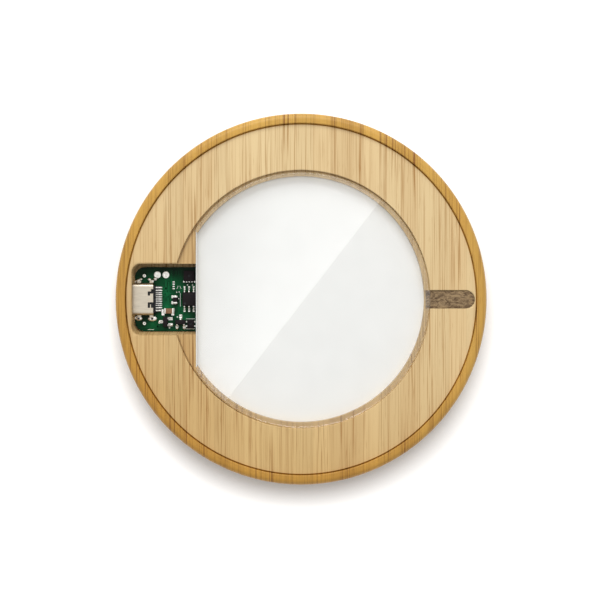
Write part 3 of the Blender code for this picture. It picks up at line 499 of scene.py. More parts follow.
@cache
def solder_mask():
    """Green solder mask over woven glass: dark green, with a faint weave, a pale cut edge, and painted shade
    near walls.
    """
    board = bpy.context.scene.monitor_board
    material, tree = new_material("solder mask on glass epoxy", IOR=1.5, specular_ior_level=0.08)
    coords = add_node(tree, "ShaderNodeTexCoord").outputs
    place = coords["Object"]
    # The weave of the glass cloth is about 0.5 mm; drawn at 0.7 mm so that it shows
    bands = {"Vector": place, "Scale": 1 / (0.7 * MM) / 20, "Distortion": 0.6}
    weave = add_node(tree, "ShaderNodeTexWave", bands, bands_direction="X").outputs["Fac"]
    cross = add_node(tree, "ShaderNodeTexWave", bands, bands_direction="Y").outputs["Fac"]
    cloth = add_node(tree, "ShaderNodeMath", {0: weave, 1: cross}, operation="MULTIPLY").outputs[0]
    pool = add_node(
        tree, "ShaderNodeTexNoise", {"Vector": place, "Scale": 1 / (4.0 * MM), "Detail": 2.0}
    ).outputs["Fac"]
    tone = add_node(
        tree, "ShaderNodeMath", {0: cloth, 1: 0.35, 2: pool}, operation="MULTIPLY_ADD"
    ).outputs[0]
    tone = add_node(
        tree, "ShaderNodeMapRange", {"Value": tone, "From Min": 0.35, "From Max": 1.0}
    ).outputs["Result"]
    mask = add_node(
        tree, "ShaderNodeMix", {0: tone, 6: toned(board.mask), 7: toned(board.trace)}, data_type="RGBA"
    ).outputs[2]
    upright = add_node(tree, "ShaderNodeSeparateXYZ", {"Vector": coords["Normal"]}).outputs["Z"]
    flat = add_node(tree, "ShaderNodeMath", {0: upright}, operation="ABSOLUTE").outputs[0]
    side = add_node(
        tree, "ShaderNodeMapRange",
        {"Value": flat, "From Min": 0.3, "From Max": 0.7, "To Min": 1.0, "To Max": 0.0},
    ).outputs["Result"]
    mixed = add_node(
        tree, "ShaderNodeMix", {0: side, 6: mask, 7: linear("#B9B277")}, data_type="RGBA"
    ).outputs[2]
    gloss = add_node(
        tree, "ShaderNodeMapRange", {"Value": side, "To Min": 0.3, "To Max": 0.8}
    ).outputs["Result"]
    height = add_node(
        tree, "ShaderNodeBump", {"Height": cloth, "Strength": 0.4, "Distance": 0.02 * MM}
    ).outputs["Normal"]
    shaded(tree, base_color=wall_shaded(tree, mixed), roughness=gloss, normal=height)
    return material


@cache
def masked_copper():
    """Copper traces under solder mask: a lighter, warmer green with a soft gloss, and painted shade near
    walls.
    """
    trace = bpy.context.scene.monitor_board.trace
    copper = grained(
        "copper under solder mask", toned(trace), toned(trace, 0.8), 0.8, (0.25, 0.35), 0.01,
        specular_ior_level=0.08,
    )
    return recoloured(copper, wall_shaded)


@cache
def tinned_copper():
    """Reflowed tin: bright, white, a little lumpy, with dull patches."""
    return grained("tinned copper", "#F1EFEA", "#C9C6BE", 0.45, (0.22, 0.42), 0.03, metallic=1.0)


@cache
def silkscreen_ink():
    """Screened ink: matt off-white that covers unevenly."""
    return grained("silkscreen ink", "#E9ECE6", "#BCC4BB", 0.25, (0.6, 0.75), 0.01)


@cache
def nickel_steel():
    """Stamped steel under nickel: warm silver with fine drawing lines along X."""
    shell = bpy.context.scene.monitor_board.shell
    return grained(
        "nickel plated steel", toned(shell), toned(shell, 0.84), 0.22, (0.28, 0.4), 0.006,
        stretch=(0.08, 1.0, 1.0), metallic=1.0,
    )


@cache
def zinc_steel():
    """Turned steel under bright zinc: cool silver with a fine grain."""
    return grained("zinc plated steel", "#D3D5D6", "#A9ACAE", 0.3, (0.25, 0.4), 0.008, metallic=1.0)


@cache
def chip_epoxy():
    """Moulded chip epoxy: near black, matt, with a fine stony grain."""
    chip = bpy.context.scene.monitor_board.chip
    return grained(
        "moulded chip epoxy", toned(chip, 1.9), toned(chip), 0.12, (0.45, 0.6), 0.012, specular_ior_level=0.15
    )


@cache
def black_nylon():
    """Glass-filled nylon: black, slightly open, with a soft sheen."""
    return grained(
        "glass-filled nylon", "#29292C", "#141416", 0.35, (0.4, 0.55), 0.012,
        specular_ior_level=0.25,
    )


@cache
def capacitor_ceramic():
    """Fired barium titanate: warm brown, dense, faintly speckled."""
    return grained("fired barium titanate", "#8E6A48", "#6A4A30", 0.2, (0.45, 0.6), 0.006)


@cache
def lamp_resin():
    """White lamp moulding: bright reflective resin with a satin skin."""
    return grained("white lamp resin", "#F0EFEA", "#DEDCD4", 0.6, (0.35, 0.5), 0.006)


@cache
def phosphor_gel():
    """Phosphor in clear silicone: lemon yellow with fine powder grain."""
    return grained("phosphor silicone", "#E9DC6E", "#CDB93F", 0.15, (0.2, 0.32), 0.006, IOR=1.41)


@cache
def drawn_brass():
    """Drawn brass: warm yellow with lines along Y."""
    return grained(
        "drawn brass", "#D9B566", "#A98440", 0.25, (0.25, 0.4), 0.006,
        stretch=(1.0, 0.1, 1.0), metallic=1.0,
    )


@cache
def sintered_bronze():
    """Sintered bronze: brown-gold with open oil pores."""
    return grained("sintered bronze", "#B98A55", "#6E4B2B", 0.25, (0.35, 0.6), 0.03, metallic=1.0)


@cache
def bonded_ferrite():
    """Bonded ferrite: charcoal grey, matt, fine-grained."""
    return grained("bonded ferrite", "#3A393B", "#232224", 0.2, (0.5, 0.65), 0.012)


@cache
def enamelled_wire():
    """Enamelled copper wire: red-gold turns 0.2 mm apart under clear enamel."""
    return grained(
        "enamelled copper wire", "#C9763F", "#73381A", 0.2, (0.22, 0.35), 0.05,
        stretch=(0.15, 0.15, 1.0), metallic=0.9, coat_weight=0.3,
    )


@cache
def urethane_foam():
    """Closed-cell foam: soft grey with cells about 0.4 mm across."""
    return grained("closed-cell urethane foam", "#8A8C8E", "#55575A", 0.4, (0.85, 0.95), 0.1, detail=1.0)


def at(x, y, z=0.0):
    """A matrix that moves a shape to a place."""
    return Matrix.Translation((x, y, z))


def turned(degrees, size=4, axis="Z"):
    """A matrix that turns a shape."""
    return Matrix.Rotation(math.radians(degrees), size, axis)


def new_verts(made):
    """The corners that an operator made."""
    return [item for item in made["geom"] if isinstance(item, bmesh.types.BMVert)]


def rise(edge):
    """How far an edge goes up or down."""
    return abs((edge.verts[1].co - edge.verts[0].co).z)


def sharp_edges(shape, least=0.7):
    """Edges whose faces meet at a clear angle."""
    return [e for e in shape.edges if e.is_manifold and e.calc_face_angle() > least]


def soften(shape, edges, offset, segments):
    """Rounds edges."""
    bmesh.ops.bevel(
        shape, geom=edges, offset=offset, segments=segments, affect="EDGES", profile=0.5, material=-1,
        clamp_overlap=True,
    )


def placed(low, high, axis=2, corner=0.0, ease=0.0, segments=6):
    """A block between two corners, rounded round one axis, with its other edges eased."""
    shape = bmesh.new()
    low, high = Vector(low), Vector(high)
    matrix = Matrix.Translation((low + high) / 2) @ Matrix.Diagonal((*(high - low), 1.0))
    bmesh.ops.create_cube(shape, size=1.0, matrix=matrix)
    if corner:
        along = [e for e in shape.edges if abs((e.verts[1].co - e.verts[0].co)[axis]) > 1e-5]
        soften(shape, along, corner, segments)
    if ease:
        soften(shape, sharp_edges(shape), ease, 2)
    return shape


def disc(radius, low, high, segments=64, top=None):
    """An upright round, tapered where a top radius is given."""
    shape = bmesh.new()
    bmesh.ops.create_cone(
        shape, cap_ends=True, segments=segments, radius1=radius, radius2=radius if top is None else top,
        depth=high - low, matrix=at(0.0, 0.0, (low + high) / 2),
    )
    return shape


def sliced(shape, point, normal, **settings):
    """Cuts a shape along a plane."""
    everything = shape.verts[:] + shape.edges[:] + shape.faces[:]
    return bmesh.ops.bisect_plane(shape, geom=everything, plane_co=point, plane_no=normal, **settings)


def lens_drop(height):
    """A low round drop of solder, one millimetre across."""
    shape = bmesh.new()
    matrix = Matrix.Diagonal((0.5, 0.5, height, 1.0))
    bmesh.ops.create_uvsphere(shape, u_segments=16, v_segments=10, radius=1.0, matrix=matrix)
    sliced(shape, (0, 0, 0), (0, 0, 1), clear_inner=True)
    return shape


def cut_off(shape, chord):
    """Cuts away what lies beyond a straight edge on the left and closes the cut."""
    made = sliced(shape, (chord, 0.0, 0.0), (1.0, 0.0, 0.0), clear_inner=True)
    edges = [item for item in made["geom_cut"] if isinstance(item, bmesh.types.BMEdge)]
    bmesh.ops.contextual_create(shape, geom=edges)


def flared(shape, axis, sign, lip):
    """Opens the end face of a cutter by a lip at forty-five degrees, as far again past the end."""
    end = max(
        shape.faces, key=lambda face: face.normal[axis] * sign * 1e3 + face.calc_center_median()[axis] * sign
    )
    verts = new_verts(bmesh.ops.extrude_face_region(shape, geom=[end]))
    middle = sum((v.co for v in verts), Vector()) / len(verts)
    size = [max(v.co[i] for v in verts) - min(v.co[i] for v in verts) for i in range(3)]
    scale = [1.0 if i == axis else 1.0 + 4 * lip / size[i] for i in range(3)]
    bmesh.ops.scale(shape, vec=scale, space=Matrix.Translation(-middle), verts=verts)
    step = [0.0, 0.0, 0.0]
    step[axis] = sign * 2 * lip
    bmesh.ops.translate(shape, vec=step, verts=verts)
    bmesh.ops.delete(shape, geom=[end], context="FACES_ONLY")
    return shape


def add_shape(piece, shape, matrix=None, finish=0):
    """Adds a shape to a piece, in its place and with its finish."""
    if matrix is not None:
        shape.transform(matrix)
    for face in shape.faces:
        face.material_index = finish
    mesh = bpy.data.meshes.new("shape")
    shape.to_mesh(mesh)
    shape.free()
    piece.from_mesh(mesh)
    bpy.data.meshes.remove(mesh)


def carve(shape, cutters, finish=1):
    """Cuts shapes out of a shape with exact Booleans; the cut faces get one finish."""
    collection = bpy.context.scene.collection
    made = []
    for part in (shape, *cutters):
        mesh = bpy.data.meshes.new("carving")
        if part is not shape:
            for face in part.faces:
                face.material_index = finish
        part.to_mesh(mesh)
        part.free()
        for _ in range(3):
            mesh.materials.append(None)
        made.append(bpy.data.objects.new("carving", mesh))
        collection.objects.link(made[-1])
    for cutter in made[1:]:
        modifier = made[0].modifiers.new("cut", "BOOLEAN")
        modifier.operation = "DIFFERENCE"
        modifier.solver = "EXACT"
        modifier.object = cutter
    evaluated = made[0].evaluated_get(bpy.context.evaluated_depsgraph_get())
    left = bmesh.new()
    left.from_mesh(evaluated.to_mesh())
    evaluated.to_mesh_clear()
    for item in made:
        mesh = item.data
        bpy.data.objects.remove(item)
        bpy.data.meshes.remove(mesh)
    bmesh.ops.remove_doubles(left, verts=left.verts, dist=1e-4)
    return left


def finish_piece(name, shape, finishes, nodes=(), body="housing", smooth=35.0):
    """Turns a shape in millimetres into a piece that rides on a body and stands for CAD nodes."""
    bmesh.ops.recalc_face_normals(shape, faces=shape.faces)
    shape.transform(Matrix.Scale(MM, 4))
    mesh = bpy.data.meshes.new(name)
    shape.to_mesh(mesh)
    shape.free()
    for finish in finishes:
        mesh.materials.append(finish)
    mesh.shade_smooth()
    mesh.set_sharp_from_angle(angle=math.radians(smooth))
    piece = bpy.data.objects.new(name, mesh)
    bpy.context.scene.collection.objects.link(piece)
    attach(piece, body)
    if nodes:
        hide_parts(*nodes)
    return piece


def even_normals(piece):
    """Shades the large flat faces of a piece flat and its rounded edges smooth."""
    piece.modifiers.new("even normals", "WEIGHTED_NORMAL").keep_sharp = True


def finish_node(node, finish):
    """Gives a CAD node whose shape is right its material."""
    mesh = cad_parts[node].data
    mesh.materials.clear()
    mesh.materials.append(finish)


class MONITOR_OT_bamboo_body(bpy.types.Operator):
    """Turns the bamboo body on its axis and routs its recess, pocket, slot and wells"""

    bl_idname = "monitor.bamboo_body"
    bl_label = "Bamboo body"

    def execute(self, context):
        body = context.scene.monitor_body
        ring_radius = BODY_RADIUS - body.rim_width / MM
        ring_level = RIM_LEVEL - body.rim_step / MM
        recess, lip, groove = body.recess_radius / MM, body.lip / MM, body.groove / MM
        shape = bmesh.new()
        profile = (
            (0.0, 0.0), (BODY_RADIUS, 0.0), (BODY_RADIUS, RIM_LEVEL), (ring_radius, RIM_LEVEL),
            (ring_radius, ring_level - 1.5 * groove), (ring_radius - groove, ring_level),
            (recess, ring_level), (recess, LEDGE_LEVEL), (0.0, LEDGE_LEVEL),
        )
        verts = [shape.verts.new((across, 0.0, up)) for across, up in profile]
        edges = [shape.edges.new(pair) for pair in zip(verts, verts[1:])]
        bmesh.ops.spin(
            shape, geom=verts + edges, cent=(0, 0, 0), axis=(0, 0, 1), angle=math.tau, steps=FINE,
            use_merge=True,
        )
        bmesh.ops.remove_doubles(shape, verts=shape.verts, dist=1e-4)
        bmesh.ops.recalc_face_normals(shape, faces=shape.faces)
        lacquered, routed, burnished, seat = range(4)
        for face in shape.faces:
            middle = face.calc_center_median()
            # Painted shade: the groove at the foot of the rim is left out of the routed faces, so it takes
            # the deeper lacquered colour and darkens the line there
            inner = middle.xy.length < ring_radius - groove and middle.z > LEDGE_LEVEL / 2
            # Painted shade: the ledge faces take the darker ledge colours
            ledge = middle.xy.length < recess and abs(middle.z - LEDGE_LEVEL) < groove
            face.material_index = burnished if ledge else routed if inner else lacquered
        for radius, level, offset, segments in (
            (BODY_RADIUS, 0.0, body.base_round / MM, 8), (BODY_RADIUS, RIM_LEVEL, body.rim_round / MM, 10),
            (ring_radius, RIM_LEVEL, 0.3, 3), (recess, ring_level, lip, 2),
        ):
            rim = [
                edge for edge in shape.edges
                if all(abs(v.co.xy.length - radius) < 1e-3 and abs(v.co.z - level) < 1e-3 for v in edge.verts)
            ]
            soften(shape, rim, offset, segments)
        left = carve(shape, self.cutters(recess, ring_level, lip, groove), routed)
        # Painted shadow: ledge faces under the window take the darker colours that stand for the pane's
        # shadow
        for face in left.faces:
            if face.material_index == burnished and face.calc_center_median().x > WINDOW_LOW.x:
                face.material_index = seat
        finishes = [lacquered_bamboo(), routed_bamboo(), ledge_shade_bamboo(), pane_shadow_bamboo()]
        even_normals(finish_piece("turned_bamboo", left, finishes, ["bamboo_body"], smooth=40.0))
        return {"FINISHED"}

    def cutters(self, recess, ring_level, lip, groove):
        """Shapes of the sheet's well, the board's cavity, pocket, slot, chamber, plug hole and relief."""
        above = RIM_LEVEL + 2.0
        well = disc(SHEET_HIGH.x + SHEET_EASE + WELL_ROOM, WELL_LEVEL, above, FINE)
        cut_off(well, SHEET_LOW.x - SHEET_REACH - 2 * WELL_ROOM)
        cavity = disc(CAVITY_RADIUS, BOARD_SEAT, above, FAIR)
        cut_off(cavity, CAVITY_CHORD)
        low, high = (POCKET_END, -POCKET_SIDE, BOARD_SEAT), (-CUT_IN, POCKET_SIDE, ring_level - lip)
        pocket = placed(low, high, 2, POCKET_CORNER)
        foot = [v for v in pocket.verts if v.co.z < BOARD_SEAT + 1e-3]
        bmesh.ops.scale(pocket, vec=POCKET_DRAFT, space=at(CUT_IN, -POCKET_SIDE), verts=foot)
        flared(pocket, 2, 1, lip)
        low, high = (CUT_IN, -SLOT_SIDE, STRIP_LOW.z - NODE_GAP), (SLOT_END, SLOT_SIDE, ring_level - lip / 2)
        slot = flared(placed(low, high, 2, SLOT_CORNER, segments=12), 2, 1, lip / 2)
        chamber = placed(CHAMBER_LOW, CHAMBER_HIGH, 2, CHAMBER_CORNER)
        level = (SHELL_LOW.z + SHELL_HIGH.z) / 2
        low, high = (HOLE_OUT, -HOLE_SIDE, level - HOLE_RISE), (HOLE_IN, HOLE_SIDE, level + HOLE_RISE)
        hole = flared(placed(low, high, 0, HOLE_CORNER), 0, -1, HOLE_LIP)
        # The cutter's relief at the foot of the recess is a crescent, widest at the upper left
        relief = disc(recess - RELIEF_INSET, LEDGE_LEVEL - 2 * groove, LEDGE_LEVEL + RELIEF_RISE, FINE)
        keep = disc(recess - RELIEF_SHIFT, LEDGE_LEVEL - 3 * groove, LEDGE_LEVEL + 2 * RELIEF_RISE, FINE)
        bmesh.ops.translate(keep, vec=(RELIEF_SHIFT, -RELIEF_SHIFT, 0.0), verts=keep.verts)
        return [well, cavity, pocket, slot, chamber, hole, carve(relief, [keep])]


class MONITOR_OT_felt_strip(bpy.types.Operator):
    """Presses the felt strip into its slot, stepped down where the window lies over it"""

    bl_idname = "monitor.felt_strip"
    bl_label = "Felt strip"

    def execute(self, context):
        swell = Vector((FELT_SWELL, FELT_SWELL, 0.0))
        shape = placed(STRIP_LOW - swell, STRIP_HIGH + swell)
        half = STRIP_HIGH.y + swell.y
        ends = [e for e in shape.edges if rise(e) > 1e-5 and e.verts[0].co.x > STRIP_HIGH.x]
        soften(shape, ends, half - 0.01, 12)
        recess = context.scene.monitor_body.recess_radius / MM
        step = disc(recess, LEDGE_LEVEL, RIM_LEVEL + 1.0, FAIR)
        left = carve(shape, [step], finish=0)
        soften(left, sharp_edges(left), 0.12, 2)
        finish_piece("felt_strip", left, [wool_felt()], ["slot_filter"])
        return {"FINISHED"}


class MONITOR_OT_window(bpy.types.Operator):
    """Cuts the clear window and the white sheet under it to a disc with one straight edge"""

    bl_idname = "monitor.window"
    bl_label = "Window and sheet"

    def execute(self, context):
        window = context.scene.monitor_window
        pane = disc(WINDOW_HIGH.x, WINDOW_LOW.z, WINDOW_HIGH.z, FINE)
        cut_off(pane, WINDOW_LOW.x)
        soften(pane, [e for e in sharp_edges(pane, 1.2) if rise(e) < 1e-5], window.edge / MM, 3)
        # The pane lies loose in its recess, pushed towards the lower right
        bmesh.ops.translate(pane, vec=(PANE_PUSH, -PANE_PUSH, 0.0), verts=pane.verts)
        clear = finish_piece(
            "acrylic_window", pane, [cast_acrylic()], ["clear_window"], body="window"
        )
        even_normals(clear)
        # Light passes the clear pane freely, so that the sheet below is lit without speckle
        clear.visible_shadow = clear.visible_diffuse = False
        thick = window.sheet_thickness / MM
        fold_line = SHEET_LOW.x - SHEET_REACH
        sheet = disc(SHEET_HIGH.x + SHEET_EASE, SHEET_LOW.z, SHEET_HIGH.z, FINE)
        cut_off(sheet, fold_line)
        room = disc(SHEET_HIGH.x + 1.0, SHEET_LOW.z + thick, SHEET_HIGH.z + 1.0)
        cut_off(room, fold_line + thick)
        folded = carve(sheet, [room], finish=0)
        fold = [
            e for e in sharp_edges(folded)
            if all(v.co.x < fold_line + 1e-3 and v.co.z < SHEET_LOW.z + 1e-3 for v in e.verts)
        ]
        soften(folded, fold, thick, 4)
        for face in folded.faces:
            face.material_index = int(face.calc_center_median().z > SHEET_LOW.z + 2 * thick)
        finishes = [opal_film(), creased_film()]
        even_normals(
            finish_piece("opal_sheet", folded, finishes, ["light_diffuser"], body="window")
        )
        return {"FINISHED"}


def flat_pad(wide, long, thick=0.05, corner=0.1):
    """A thin flat pad with rounded corners."""
    return placed((-wide / 2, -long / 2, 0.0), (wide / 2, long / 2, thick), 2, corner, segments=3)


def ring_pad(radius, hole, thick=0.06):
    """A flat ring with a rounded top."""
    shape = bmesh.new()
    bmesh.ops.create_circle(shape, cap_ends=False, segments=32, radius=radius)
    inner = new_verts(bmesh.ops.extrude_edge_only(shape, edges=shape.edges[:]))
    bmesh.ops.scale(shape, vec=(hole / radius, hole / radius, 1.0), verts=inner)
    bmesh.ops.recalc_face_normals(shape, faces=shape.faces)
    top = new_verts(bmesh.ops.extrude_face_region(shape, geom=shape.faces[:]))
    bmesh.ops.translate(shape, vec=(0.0, 0.0, thick), verts=top)
    rims = [e for e in sharp_edges(shape) if all(v.co.z > thick / 2 for v in e.verts)]
    soften(shape, rims, thick * 0.6, 2)
    return shape


def line(points, width, thick):
    """A flat line along points, its legs lapped at the corners."""
    whole = bmesh.new()
    half = width / 2
    for start, end in zip(points, points[1:]):
        run = Vector(end) - Vector(start)
        leg = placed((-half, -half, 0.0), (run.length + half, half, thick), 2, width * 0.45, segments=2)
        add_shape(whole, leg, at(*start) @ Matrix.Rotation(math.atan2(run.y, run.x), 4, "Z"))
    return whole


# Copper traces and screened marks on the board: width, then the points they run through
TRACES = (
    (0.5, ((-39.4, -2.8), (-37.6, -2.8))),
    (0.3, ((-39.2, 2.2), (-37.2, 2.2), (-36.2, 1.2), (-36.2, -0.6))),
    (0.3, ((-39.2, 1.4), (-37.8, 1.4), (-37.0, 0.6), (-37.0, -1.4))),
    (0.3, ((-34.0, -1.4), (-34.0, -4.3))),
    (0.3, ((-33.4, -0.6), (-33.4, -3.4), (-32.6, -4.2), (-32.6, -4.6))),
    (0.45, ((-37.6, 5.8), (-37.6, 3.0), (-38.8, 3.0))),
    (0.45, ((-36.0, 7.9), (-36.0, 3.4), (-35.4, 2.8))),
    (0.3, ((-34.8, 7.9), (-34.8, 6.6))),
    (0.3, ((-34.1, 7.9), (-34.1, 6.6))),
    (0.3, ((-33.4, 7.9), (-33.4, 6.6))),
    (0.3, ((-38.8, 0.6), (-38.2, 0.6), (-38.2, -1.6))),
    (0.5, ((-41.0, -7.6), (-39.9, -7.6), (-39.4, -7.1))),
    (0.3, ((-36.8, 2.2), (-36.8, 4.6))),
    (0.3, ((-44.6, -8.0), (-42.0, -8.0))),
    (0.3, ((-44.6, 8.0), (-40.8, 8.0))),
)
MARKS = (
    (0.14, ((-42.6, -8.5), (-41.0, -8.5))),
    (0.14, ((-34.5, 2.9), (-34.2, 3.6))),
    (0.14, ((-33.7, 3.6), (-33.4, 2.9))),
    (0.12, ((-33.6, 1.6), (-33.6, -2.0))),
    (0.14, ((-31.9, -8.3), (-29.6, -8.3))),
    (0.14, ((-31.9, -5.5), (-29.6, -5.5))),
)
# Round pads: place, radius and hole
LARGE_PADS = ((-39.94, 6.73), (-37.6, 6.73))
ROUND_PADS = (
    *((*spot, 0.95, 0.28) for spot in LARGE_PADS),
    (-43.6, 6.46, 0.47, 0.1), (-43.6, -6.8, 0.47, 0.1), (-39.4, -6.5, 0.34, 0.1),
    (-34.6, 1.9, 0.16, 0.05), (-33.9, 2.0, 0.16, 0.05), (-34.0, 0.1, 0.16, 0.05),
    (-34.4, -5.0, 0.2, 0.06), (-36.6, -8.0, 0.2, 0.06), (-31.6, 3.9, 0.16, 0.05), (-30.2, 3.9, 0.16, 0.05),
)
# Square pads: place, width and length
SQUARE_PADS = (
    (-38.4, -3.7, 0.8, 1.7), (-35.7, -3.7, 0.8, 1.7), (-35.3, 0.62, 1.5, 0.8), (-35.3, -1.02, 1.5, 0.8),
    (-36.3, -5.45, 1.2, 0.8), (-36.3, -7.15, 1.2, 0.8), (-39.0, -6.3, 1.0, 0.8),
    (-33.5, -4.85, 0.8, 1.1), (-34.5, -7.85, 0.7, 0.9), (-32.5, -7.85, 0.7, 0.9),
    *((-32.6 + 0.75 * step, 4.85, 0.36, 0.45) for step in range(5)),
    *((-35.45, 4.75 - 0.62 * step, 0.62, 0.3) for step in range(4)),
    *((x, y, 0.5, 0.4) for x in (-29.6, -31.8) for y in (-6.3, -7.5)),
    *((x, y, 0.5, 0.8) for x in (-32.405, -31.135, -29.865, -28.595) for y in (3.15, -3.15)),
)


class MONITOR_OT_circuit_board(bpy.types.Operator):
    """Finishes the circuit board: solder mask, traces, tinned pads, vias and screened marks"""

    bl_idname = "monitor.circuit_board"
    bl_label = "Circuit board"

    def execute(self, context):
        finish_node("main_board", solder_mask())
        traces, pads, marks = bmesh.new(), bmesh.new(), bmesh.new()
        for piece, lines, thick in ((traces, TRACES, 0.03), (marks, MARKS, 0.04)):
            for width, points in lines:
                add_shape(piece, line(points, width, thick), at(0.0, 0.0, BOARD_TOP))
        for x, y, radius, hole in ROUND_PADS:
            add_shape(pads, ring_pad(radius, hole), at(x, y, BOARD_TOP))
        for x, y, wide, long in SQUARE_PADS:
            add_shape(pads, flat_pad(wide, long), at(x, y, BOARD_TOP))
        for spot in LARGE_PADS:
            add_shape(pads, disc(0.32, BOARD_TOP, BOARD_TOP + 0.02, 24), at(*spot))
        finish_piece("board_traces", traces, [masked_copper()])
        finish_piece("tinned_pads", pads, [tinned_copper()])
        finish_piece("screened_marks", marks, [silkscreen_ink()])
        return {"FINISHED"}


# Solder joints of the port: place, length, width and turn
PORT_JOINTS = (
    (-45.35, 5.1, 1.9, 0.9, 25.0), (-44.5, 5.5, 0.8, 0.8, 0.0), (-42.2, 5.43, 1.0, 1.0, 0.0),
    (-41.35, 4.95, 1.0, 1.0, 0.0), (-40.55, 5.6, 1.0, 1.1, 0.0), (-45.2, -5.35, 2.1, 1.4, 0.0),
    (-41.35, -5.45, 2.6, 1.5, 0.0),
)
# Hooked slots in the top of the shell, corner to corner
SHELL_SLOTS = (
    (-42.4, 1.0, -41.75, 2.1), (-42.4, 1.55, -40.95, 2.15), (-41.5, 1.55, -40.9, 2.8),
    (-42.4, -2.4, -41.75, -1.3), (-42.4, -1.45, -40.95, -0.85), (-41.5, -2.4, -40.9, -0.85),
)
# Contact tails on each side of the middle: distance and width
TAILS = ((3.2, 0.36), (2.4, 0.36), (1.75, 0.22), (1.25, 0.22), (0.75, 0.22), (0.25, 0.22))
TAIL_START, TAIL_END = -39.9, -38.82
SLOPE_START, SLOPE_END, SLOPE_TURN = -40.75, -39.75, 18
# The folded shell: half its width, the thickness of its wall, and its legs with their toes
SHELL_HALF = 4.47
SHELL_WALL = 0.28
LEG_PLACES = (-45.0, -41.6)
LEG_HALF, LEG_THICK = 0.55, 0.14
TOE_HALF, TOE_REACH = 0.5, 0.35


class MONITOR_OT_usb_port(bpy.types.Operator):
    """Folds the port's steel shell, sets its contacts and solders it to the board"""

    bl_idname = "monitor.usb_port"
    bl_label = "USB port"

    def execute(self, context):
        finish_node("usb_tongue", black_nylon())
        foot, top, back = SHELL_LOW.z, SHELL_HIGH.z, SHELL_HIGH.x
        shell = self.shell(foot, top)
        even_normals(
            finish_piece("port_shell", shell, [nickel_steel()], ["usb_shell"], smooth=30.0)
        )
        tails = bmesh.new()
        lean = turned(SLOPE_TURN, 3, "Y")
        for row, wide in TAILS:
            for side in (1, -1):
                place = at(0.0, side * row, BOARD_TOP)
                flat = placed((TAIL_START, -wide / 2, 0.05), (TAIL_END, wide / 2, 0.28), 2, 0.08, 0.04, 2)
                add_shape(tails, flat, place)
                slope = placed((SLOPE_START, -wide / 2, 0.35), (SLOPE_END, wide / 2, 0.58), ease=0.04)
                bmesh.ops.rotate(slope, cent=(SLOPE_END, 0.0, 0.28), matrix=lean, verts=slope.verts)
                add_shape(tails, slope, place)
                add_shape(tails, flat_pad(1.3, wide), at(-39.3, side * row, BOARD_TOP))
        finish_piece("port_contacts", tails, [tinned_copper()], ["usb_contacts"])
        low, high = (back - 0.5, -3.75, BOARD_TOP + 0.02), (back + 0.55, 3.75, foot + 1.6)
        back_lip = placed(low, high, 1, 0.2, 0.08)
        add_shape(back_lip, placed((back, -3.6, BOARD_TOP + 0.01), (-38.9, 3.6, BOARD_TOP + 0.04)))
        finish_piece("port_back", back_lip, [black_nylon()])
        joints = bmesh.new()
        for x, y, wide, long, turn in PORT_JOINTS:
            spread = Matrix.Diagonal((wide, long, 1.0, 1.0))
            add_shape(joints, lens_drop(0.28), at(x, y, BOARD_TOP) @ turned(turn) @ spread)
        # Painted shade: a small black block in each of the two lower joints, beyond the toe, stands for the
        # shade in the joint
        for x in (-45.05, -41.3):
            low, high = (x - 0.45, -5.75, BOARD_TOP + 0.1), (x + 0.2, -5.15, BOARD_TOP + 0.29)
            add_shape(joints, placed(low, high, 2, 0.25, segments=4), finish=1)
        finish_piece("port_solder", joints, [tinned_copper(), black_nylon()])
        return {"FINISHED"}

    def shell(self, foot, top):
        """The folded tube with its slots, and its four legs with their toes."""
        low, high = (SHELL_LOW.x, -SHELL_HALF, foot), (SHELL_HIGH.x, SHELL_HALF, top)
        tube = placed(low, high, 0, 1.1, segments=8)
        ends = [face for face in tube.faces if abs(face.normal.x) > 0.9]
        bmesh.ops.delete(tube, geom=ends, context="FACES")
        bmesh.ops.recalc_face_normals(tube, faces=tube.faces)
        bmesh.ops.solidify(tube, geom=tube.faces[:], thickness=SHELL_WALL)
        bmesh.ops.recalc_face_normals(tube, faces=tube.faces)
        slots = [
            placed((x0, y0, top - 0.8), (x1, y1, top + 0.8), 2, 0.15, segments=3)
            for x0, y0, x1, y1 in SHELL_SLOTS
        ]
        shell = carve(tube, slots, finish=0)
        for x in LEG_PLACES:
            for side in (1, -1):
                low = (x - LEG_HALF, -LEG_THICK, BOARD_TOP + 0.02)
                high = (x + LEG_HALF, LEG_THICK, foot + 1.5)
                leg = placed(low, high, 1, 0.2, segments=3)
                add_shape(shell, leg, at(0.0, side * (SHELL_HALF - 0.1)))
                low = (x - TOE_HALF, -TOE_REACH, BOARD_TOP + 0.03)
                high = (x + TOE_HALF, TOE_REACH, BOARD_TOP + 0.25)
                toe = placed(low, high, 2, 0.2, segments=3)
                add_shape(shell, toe, at(0.0, side * (SHELL_HALF + 0.25)))
        return shell


def moulded_body(size, lift, waist=0.9):
    """A chip's moulded body on z = lift, drawn in above and below its parting line."""
    wide, long, tall = size
    shape = placed((-wide / 2, -long / 2, lift), (wide / 2, long / 2, lift + tall))
    sliced(shape, (0, 0, lift + tall * 0.5), (0, 0, 1))
    ends = [v for v in shape.verts if abs(v.co.z - lift - tall * 0.5) > 1e-4]
    draw = min(wide, long) * (1 - waist)
    bmesh.ops.scale(shape, vec=((wide - draw) / wide, (long - draw) / long, 1.0), verts=ends)
    soften(shape, sharp_edges(shape, 1.0), 0.07, 2)
    return shape


